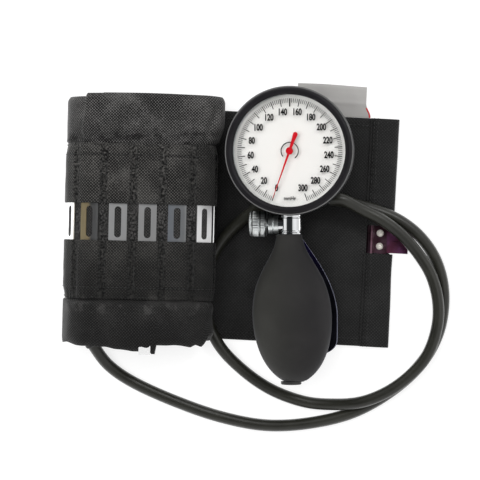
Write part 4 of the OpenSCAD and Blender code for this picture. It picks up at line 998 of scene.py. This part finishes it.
def band_rise(s, v, ends):
    """The band lies low along its seams and stands over the plates between them."""
    near = min(abs(s - spot) for spot in seam_spots)
    if s < seam_spots[0]:
        swell = 0.3 * smooth(near, 0, 4)
    else:
        over_plate = 1.05 + 0.3 * smooth(-s, -3, 1) + 0.85 * smooth(s, 46.5, 51)
        swell = smooth(near, 0.4, 2.5) * over_plate + 0.3 * smooth(near, 3, 8)
    swell *= 0.2 + 0.8 * smooth(ends[1] - v if v > 0 else v - ends[0], 1, 8)
    edge = min(v - ends[0], ends[1] - v)
    sewn = 0.22 * hump(near, SEAM_HALF, 0.45) * (1 if seam_spots[0] < s else 0)
    dents = 0.22 * crumple(s, v, 7, 8) * smooth(edge, 0, 3) * smooth(near, 0.5, 3)
    return 0.3 + swell - sewn + dents


def on_band(s, v, ends, proud):
    """A point that stands so much proud of the band's upper face."""
    return over_roll(s, v, band_rise(s, v, ends) + BAND_THICK - SINK + proud)


def channel_band(name, ends, outer, pucker):
    """One band as a thin closed strip, its outer edge turned under as a hem."""
    spots = [BAND_FROM + (BAND_TO - BAND_FROM) * k / BAND_STEPS for k in range(BAND_STEPS + 1)]
    length = ends[1] - ends[0]
    low_side = outer == ends[0]
    rows = [0, 0.15, 0.5, 1.0] + [1.0 + (length - 2) * k / 30 for k in range(1, 30)] + [
        length - 1.0, length - 0.5, length - 0.15, length]
    rings = []
    for run in rows:
        v = ends[0] + run
        off = run if low_side else length - run
        hem = 0.4 * (1 - smooth(off, 6.0, 6.7)) - 0.4 * hump(off, BAND_HEM, 0.5)
        edge = min(run, length - run)
        round_off = 0.38 * BAND_THICK * (1 - min(1, edge / 0.5)) ** 2
        over, under = [], []
        for s in spots:
            level = 1 - smooth(-s, 22, 29)
            ripple = 0.5 + 0.5 * math.sin(s * 1.9 + math.sin(s * 0.7) * 2)
            tuck = level * pucker * ripple * hump(off, 1.5, 4.0)
            side = min(s - BAND_FROM, BAND_TO - s)
            shrink = 0.3 * BAND_THICK * (1 - min(1, side / 0.8)) ** 2
            wave = 0.35 * math.sin(s / 6.2) * (1 - smooth(off, 0, 5)) * pucker * level
            inset = min(round_off + shrink, 0.34)
            rise = band_rise(s, v, ends) - SINK
            raised = BAND_THICK + hem * level + tuck - inset
            over.append(over_roll(s, v + wave, rise + raised))
            under.append(over_roll(s, v + wave, rise + inset))
        rings.append(over + under[::-1])
    shares = [s / 1000 for s in spots]

    def from_edge(off):
        return (off if low_side else length - off) / 1000

    # Painted shade darkens each band towards -Y and towards +X, and a line of painted shade lies in
    # the hem's groove; the folded edge is paler with wear and painted light.
    cloth = twill(name + "_twill", (0.125, 0.121, 0.114, 1), grey(0.003), (-0.06, 0.05, 0.15), 0.96,
                  (0.56, 0.72), seams=(*SEAM_WAY, 0, length / 1000), shaded_hem_at=from_edge(BAND_HEM),
                  side=(-0.038, -0.016, 0.5), wear_and_shade_patches=((from_edge(0.6), 0.0022, 0.35),))
    return skinned(name, rings, ROLL_PLACE, cloth, "caps", 60, shares + shares[::-1] + shares[:1])


upper_band = channel_band("upper_band", BAND_HIGH, BAND_HIGH[1], 0.12)
lower_band = channel_band("lower_band", BAND_LOW, BAND_LOW[0], 0.45)
fitted(upper_band, "cuff_cloth", "upper_channel_band")
fitted(lower_band, "cuff_cloth", "lower_channel_band")

# Stitches. Black thread in short even stitches, two rows a few millimetres apart in each seam.
STITCH_SIZES = {"Pitch": 2.3, "Length": 1.7, "Thickness": 0.5}
finish = Finish("black_thread")
ply = finish.noise(2200, 2)
thread = finish.surface(
    Base_Color=finish.mix(ply.step(0.35, 0.65), grey(0.004), grey(0.016)),
    Roughness=ply * 0.2 + 0.5)
stitch_tree, add, given, close = tree_named("stitch_row", STITCH_SIZES, thread)
path = add("GeometryNodeMeshToCurve", None, {"Mesh": given["Line"]})
dots = add("GeometryNodeCurveToPoints", {"mode": "LENGTH"},
           {"Curve": path.outputs[0], "Length": given["Pitch"]})
bead = add("GeometryNodeMeshUVSphere", None, {"Segments": 6, "Rings": 4, "Radius": 0.5})
size = add("ShaderNodeCombineXYZ", None,
           {0: given["Thickness"], 1: given["Thickness"], 2: given["Length"]})
rows = add("GeometryNodeInstanceOnPoints", None, {
    "Points": dots.outputs["Points"], "Instance": bead.outputs[0],
    "Rotation": dots.outputs["Rotation"], "Scale": size.outputs[0]})
close(rows.outputs[0])


def stitched(name, lines, place):
    """Stitches along each row of points, as one mesh."""
    seed_mesh = bpy.data.meshes.new(name)
    points, edges = [], []
    for line in lines:
        edges += [(len(points) + k, len(points) + k + 1) for k in range(len(line) - 1)]
        points += line
    seed_mesh.from_pydata(points, edges, [])
    fitted(grown(name, stitch_tree, STITCH_SIZES, place, thread, seed_mesh), "cuff_cloth")


channel_lines = []
for ends in (BAND_HIGH, BAND_LOW):
    for spot in seam_spots[1:-1]:
        for side in (-SEAM_HALF, SEAM_HALF):
            channel_lines.append([
                on_band(spot + side, ends[0] + 0.8 + (ends[1] - ends[0] - 1.6) * k / 12, ends, 0.05)
                for k in range(13)])
stitched("channel_stitches", channel_lines, ROLL_PLACE)
hem_lines = []
for ends, edge, inward in ((BAND_HIGH, BAND_HIGH[1], -1), (BAND_LOW, BAND_LOW[0], 1)):
    for off, proud in ((1.1, 0.35), (BAND_HEM, 0.1)):
        hem_lines.append([
            on_band(BAND_FROM + 1 + (BAND_TO - BAND_FROM - 2) * k / 140, edge + inward * off, ends,
                    proud) for k in range(141)])
stitched("hem_stitches", hem_lines, ROLL_PLACE)

# Slotted plates. Seven thin strips of polished spring steel with a round-ended slot, one in each
# channel. The hook catches in whichever slot fits the arm.
finish = Finish("plate_steel")
plate_haze = finish.noise(90, 3)
plate_brush = finish.noise(60, 4, finish.drawn_out(40, 1, 40))
# Across X the plates step through a gold temper tint and grey and bluish painted reflections.
temper_and_reflection = finish.node("ShaderNodeValToRGB", {"stops": [
    (0.0, grey(0.85)), (0.09, grey(0.85)), (0.12, (1.0, 0.82, 0.45, 1)),
    (0.17, (1.0, 0.78, 0.42, 1)), (0.19, grey(0.22)), (0.23, grey(0.35)), (0.3, grey(0.7)),
    (0.46, grey(0.6)), (0.62, grey(0.5)), (0.66, (0.22, 0.25, 0.3, 1)),
    (0.78, (0.27, 0.28, 0.29, 1)), (0.84, grey(0.85)), (1.0, grey(0.85))]},
    {0: (finish.axis(0) + 0.095) / 0.085})
plate_steel = finish.surface(
    Base_Color=finish.mix(plate_haze * 0.3, temper_and_reflection, grey(0.6)), Metallic=1.0,
    Roughness=plate_brush * 0.14 + 0.27, Normal=finish.bump(plate_brush, 0.000006, 0.4))
dress_solids(plate_steel, *("slot_plate_%d" % k for k in range(1, PLATES + 1)))

# Flap. The cuff's flat end runs out from under the roll. It is two plies of the twill with a
# soft lining, lying on the hose's inner run, and it is bound at its edges.
FLAP_PLACE = placed((0.0875, -0.0016, 0), -3, "Z")
FLAP_HALF = 63.75
FLAP_FROM, FLAP_TO = -143.0, -16.05
FLAP_TOP, FLAP_SOLE = 2.85, 0.12


def slab(name, us, vs, over, under, place, material, smooth_under=60):
    """A closed sheet between an upper and a lower surface given as points of (u, v)."""
    rings = [[over(u, v) for v in vs] + [under(u, v) for v in reversed(vs)] for u in us]
    return skinned(name, rings, place, material, "caps", smooth_under)


def spread(low, high, count, edge):
    """Even places from low to high, with a few close to each end for a round edge."""
    inner = [low + max(edge) + (high - low - 2 * max(edge)) * k / count for k in range(count + 1)]
    return sorted({low, high, *(low + e for e in edge), *(high - e for e in edge), *inner})


def flap_edge(u, v):
    near = min(u - FLAP_FROM + 1, FLAP_HALF - abs(v), 4)
    return 1 - math.sqrt(max(0, 1 - (1 - min(1, near / 1.1)) ** 2))


def flap_tongue(u, v, length):
    """Between the hems the flap runs on a little under the strap."""
    gap = smooth(v, -11.9, -11.6) * (1 - smooth(v, 4.3, 4.6))
    return u + length * gap * smooth(u, FLAP_TO - 3, FLAP_TO)


def flap_over(u, v):
    wave = 0.22 * crumple(u, v, 26, 2) + 0.08 * crumple(u, v, 8, 4)
    off = FLAP_HALF - abs(v)
    bound = 0.16 * smooth(-off, -5.4, -5.0) - 0.2 * hump(off, 5.3, 0.4)
    return (flap_tongue(u, v, 1.05), v, FLAP_TOP + wave + bound - 1.3 * flap_edge(u, v))


def flap_under(u, v):
    return (flap_tongue(u, v, 2.3), v, FLAP_SOLE + 1.2 * flap_edge(u, v))


flap_twill = twill("flap_twill", grey(0.028), grey(0.008), None, 0.9, (0.5, 0.66), 0.05)
flap = slab("cuff_flap_cloth", spread(FLAP_FROM, FLAP_TO, 110, (0.3, 0.8)),
            sorted(spread(-FLAP_HALF, FLAP_HALF, 110, (0.25, 0.6, 1.1)) + [-11.9, -11.6, 4.3, 4.6]),
            flap_over, flap_under, FLAP_PLACE, flap_twill)
fitted(flap, "cuff_cloth", "cuff_flap")

# Hems. The flap's end is folded over the steel stay bar and sewn down in two lengths, with a
# gap between them where the hook's strap goes round the bar.
BAR_HEIGHT = 2.3
HEM_SIDE = [(-16, 0.1), (-9.8, 0.06), (-9, 0.05), (-2.6, 0.12), (-1.2, 0.55), (-0.35, 1.3),
            (0, 2.3), (-0.3, 3.25), (-1.1, 4.05), (-2.5, 4.55), (-5, 4.72), (-9, 4.66),
            (-12.5, 4.62), (-13.9, 4.5), (-14.7, 4.0), (-15.1, 3.75), (-15.5, 4.0), (-15.9, 4.0),
            (-16, 3.4)]


def hem(name, low, high, node):
    """One length of the fold, whose sole reaches a little way under the strap."""
    rings = []
    gap_end = low if low > 0 else high
    for v in spread(low, high, 44, (0.3, 0.8)):
        pinch = 1 - 0.16 * (1 - min(1, min(v - low, high - v) / 0.9)) ** 2
        pucker = 0.13 * math.sin(v * 1.35) + 0.1 * crumple(v, 3, 5, 7)
        ring = []
        for u, z in HEM_SIDE:
            lift = pucker * smooth(z, 2.5, 4.4) * (0.4 + 0.6 * hump(u, -14.5, 3))
            sway = 0.35 * crumple(v, 9, 22, 1) * smooth(u, -6, 0)
            under = 1.0 if v == gap_end and z < 0.2 and -9.5 < u else 0
            ring.append((u + sway, v - math.copysign(under, v),
                         BAR_HEIGHT + (z - BAR_HEIGHT) * pinch + lift))
        rings.append(ring)
    piece = skinned(name, rings, FLAP_PLACE, flap_twill, "caps", 50)
    fitted(piece, "cuff_cloth", node)
    return piece


upper_hem = hem("upper_hem", 4.2, FLAP_HALF, "flap_hem_upper")
lower_hem = hem("lower_hem", -FLAP_HALF, -11.65, "flap_hem_lower")
HEM_SEAM_AT, FLAP_SEAM_AT = 4.68, 3.06
flap_seams = []
for low, high in ((5, FLAP_HALF - 0.6), (0.6 - FLAP_HALF, -12.4)):
    for u in (-14.2, -12.1):
        flap_seams.append([(u, low + (high - low) * k / 20, HEM_SEAM_AT) for k in range(21)])
for side in (-1, 1):
    flap_seams.append([(-98 + 80 * k / 60, side * (FLAP_HALF - 4.2), FLAP_SEAM_AT)
                       for k in range(61)])
stitched("flap_stitches", flap_seams, FLAP_PLACE)

# Hook. A strap of thin dark steel goes round the stay bar and is riveted to a pressed hook
# plate with two domed rivets. Its blued polish shows violet and brown.
finish = Finish("hook_blued_steel")
blued = finish.noise(130, 4)
streak = finish.noise(90, 3, finish.drawn_out(1, 14, 14))
hook_steel = finish.surface(
    Base_Color=finish.mix(
        finish.axis(0).step(0.083, 0.0845),
        finish.mix(blued.step(0.35, 0.7), (0.085, 0.035, 0.05, 1), (0.2, 0.11, 0.15, 1)),
        finish.mix(blued.step(0.35, 0.7), (0.24, 0.07, 0.13, 1), (0.36, 0.13, 0.31, 1))),
    Metallic=1.0, Roughness=streak * 0.16 + 0.22, Coat_Weight=0.3,
    Normal=finish.bump(streak, 0.000008, 0.4))
dress_solids(hook_steel, "hook_strap", "hook_plate")
dress_solids(clouded("rivet_steel", (600, 3), (0.58, 0.55, 0.5, 1), (0.74, 0.70, 0.65, 1),
                     (0.16, 0.36), Metallic=0.4), "hook_rivets")

# Labels. A grey satin ribbon is folded and sewn into the flap's upper edge, with a red woven
# edge at its right. A small white tag is sewn into the roll's lower end. Both are left bare.
LABEL_FROM, LABEL_TO = -55.0, -16.4
RIBBON_LONG = 17.5
RIBBON_CREASE = 7.8
finish = Finish("satin_ribbon")
ribbon_way = finish.along()
warp = finish.axis(0, ribbon_way).wave(2200)
weft = finish.axis(1, ribbon_way).wave(1900)
satin_cloud = finish.noise(70, 4)
satin = satin_cloud * 0.6 + warp * 0.25 + weft * 0.15
ribbon_grey = finish.surface(
    Base_Color=finish.mix(satin, (0.26, 0.253, 0.244, 1), (0.4, 0.39, 0.378, 1)),
    Roughness=satin_cloud * 0.14 + 0.36, Sheen_Weight=0.25,
    Normal=finish.bump(warp * 0.6 + weft * 0.4, 0.00005, 0.5))


def ribbon_over(u, v):
    reach = smooth(v, 0, 16)
    z = 1.5 + 0.35 * reach * math.sin(u / 7.5 + 0.4) * 0.5 + 0.12 * crumple(u, v, 6, 3)
    return (u - 2.7 * smooth(v, 0.5, 8), FLAP_HALF + 0.1 + v + 0.25 * math.sin(u / 9) * reach,
            z - 0.35 * smooth(v, 16.2, RIBBON_LONG) + 0.35 * hump(v, RIBBON_CREASE, 1.2))


def ribbon_under(u, v):
    x, y, z = ribbon_over(u, v)
    return (x, y, max(0.12, z - 1.15 - 0.25 * hump(v, RIBBON_CREASE, 1.2)))


size_label = slab("size_ribbon", spread(LABEL_FROM, LABEL_TO, 46, (0.2,)),
                  spread(0, RIBBON_LONG, 24, (0.15, 0.4)), ribbon_over, ribbon_under, FLAP_PLACE,
                  ribbon_grey)
fitted(size_label, "label_grey", "size_label")


def fringe_face(lift):
    return lambda u, v: tuple(a + b for a, b in zip(ribbon_over(u, v), (0, 0, lift)))


red_edge = clouded("red_edge", (1600, 2), (0.33, 0.01, 0.012, 1), (0.5, 0.03, 0.03, 1), (0.2, 0.5))
fringe = slab("ribbon_red_edge", [LABEL_TO + u for u in (-0.9, -0.7, -0.2, 0.05)],
              spread(0.3, 5.7, 12, (0.1,)), fringe_face(0.12), fringe_face(-0.3), FLAP_PLACE,
              red_edge)
fitted(fringe, "label_grey")

finish = Finish("white_tag")
tag_weave = finish.noise(1300, 2)
tag_white = finish.surface(
    Base_Color=finish.mix(tag_weave, grey(0.55), grey(0.75)), Roughness=tag_weave * 0.2 + 0.5,
    Normal=finish.bump(tag_weave, 0.00004, 0.4))
TAG_AT = 21.6
TAG_WIDE = 6.3
TAG_ROWS = [-73.3, -73.15] + [-72.9 + 0.65 * k for k in range(8)] + [-68.1, -67.9]


def tag_over(s, v):
    out = -v - 67.7
    return over_roll(s, v, 1.25 - 0.1 * out + 0.12 * math.sin(s * 0.9))


def tag_under(s, v):
    x, y, z = tag_over(s, v)
    return (x, y, z - 0.42)


care_label = slab("white_care_tag", spread(TAG_AT, TAG_AT + TAG_WIDE, 14, (0.12,)), TAG_ROWS,
                  tag_over, tag_under, ROLL_PLACE, tag_white)
fitted(care_label, "label_white", "care_label")

# Bladder stem. A moulded rubber sleeve where the hose goes in at the roll's lower end.
STEM_AT = Vector((-0.0799566, -0.0629635, 0.0110))
STEM_WAY = Vector((-0.535, 0.763, 0.362)).normalized()
stem_outline = [(0, 0.02), (3.5, 0.02), (3.85, 0.25), (4, 0.7), (4, 1.4), (3.8, 1.7), (3.8, 2.2),
                (4, 2.5), (4, 3.2), (3.8, 3.5), (3.8, 4), (4, 4.3), (4, 7.6), (3.7, 7.95), (0, 8)]
STEM_PLACE = Matrix.Translation(STEM_AT) @ STEM_WAY.to_track_quat("Z", "Y").to_matrix().to_4x4()
stem = turned("rubber_sleeve", stem_outline, STEM_PLACE, seal_rubber, 48)
fitted(stem, "seal_rubber", "bladder_stem")
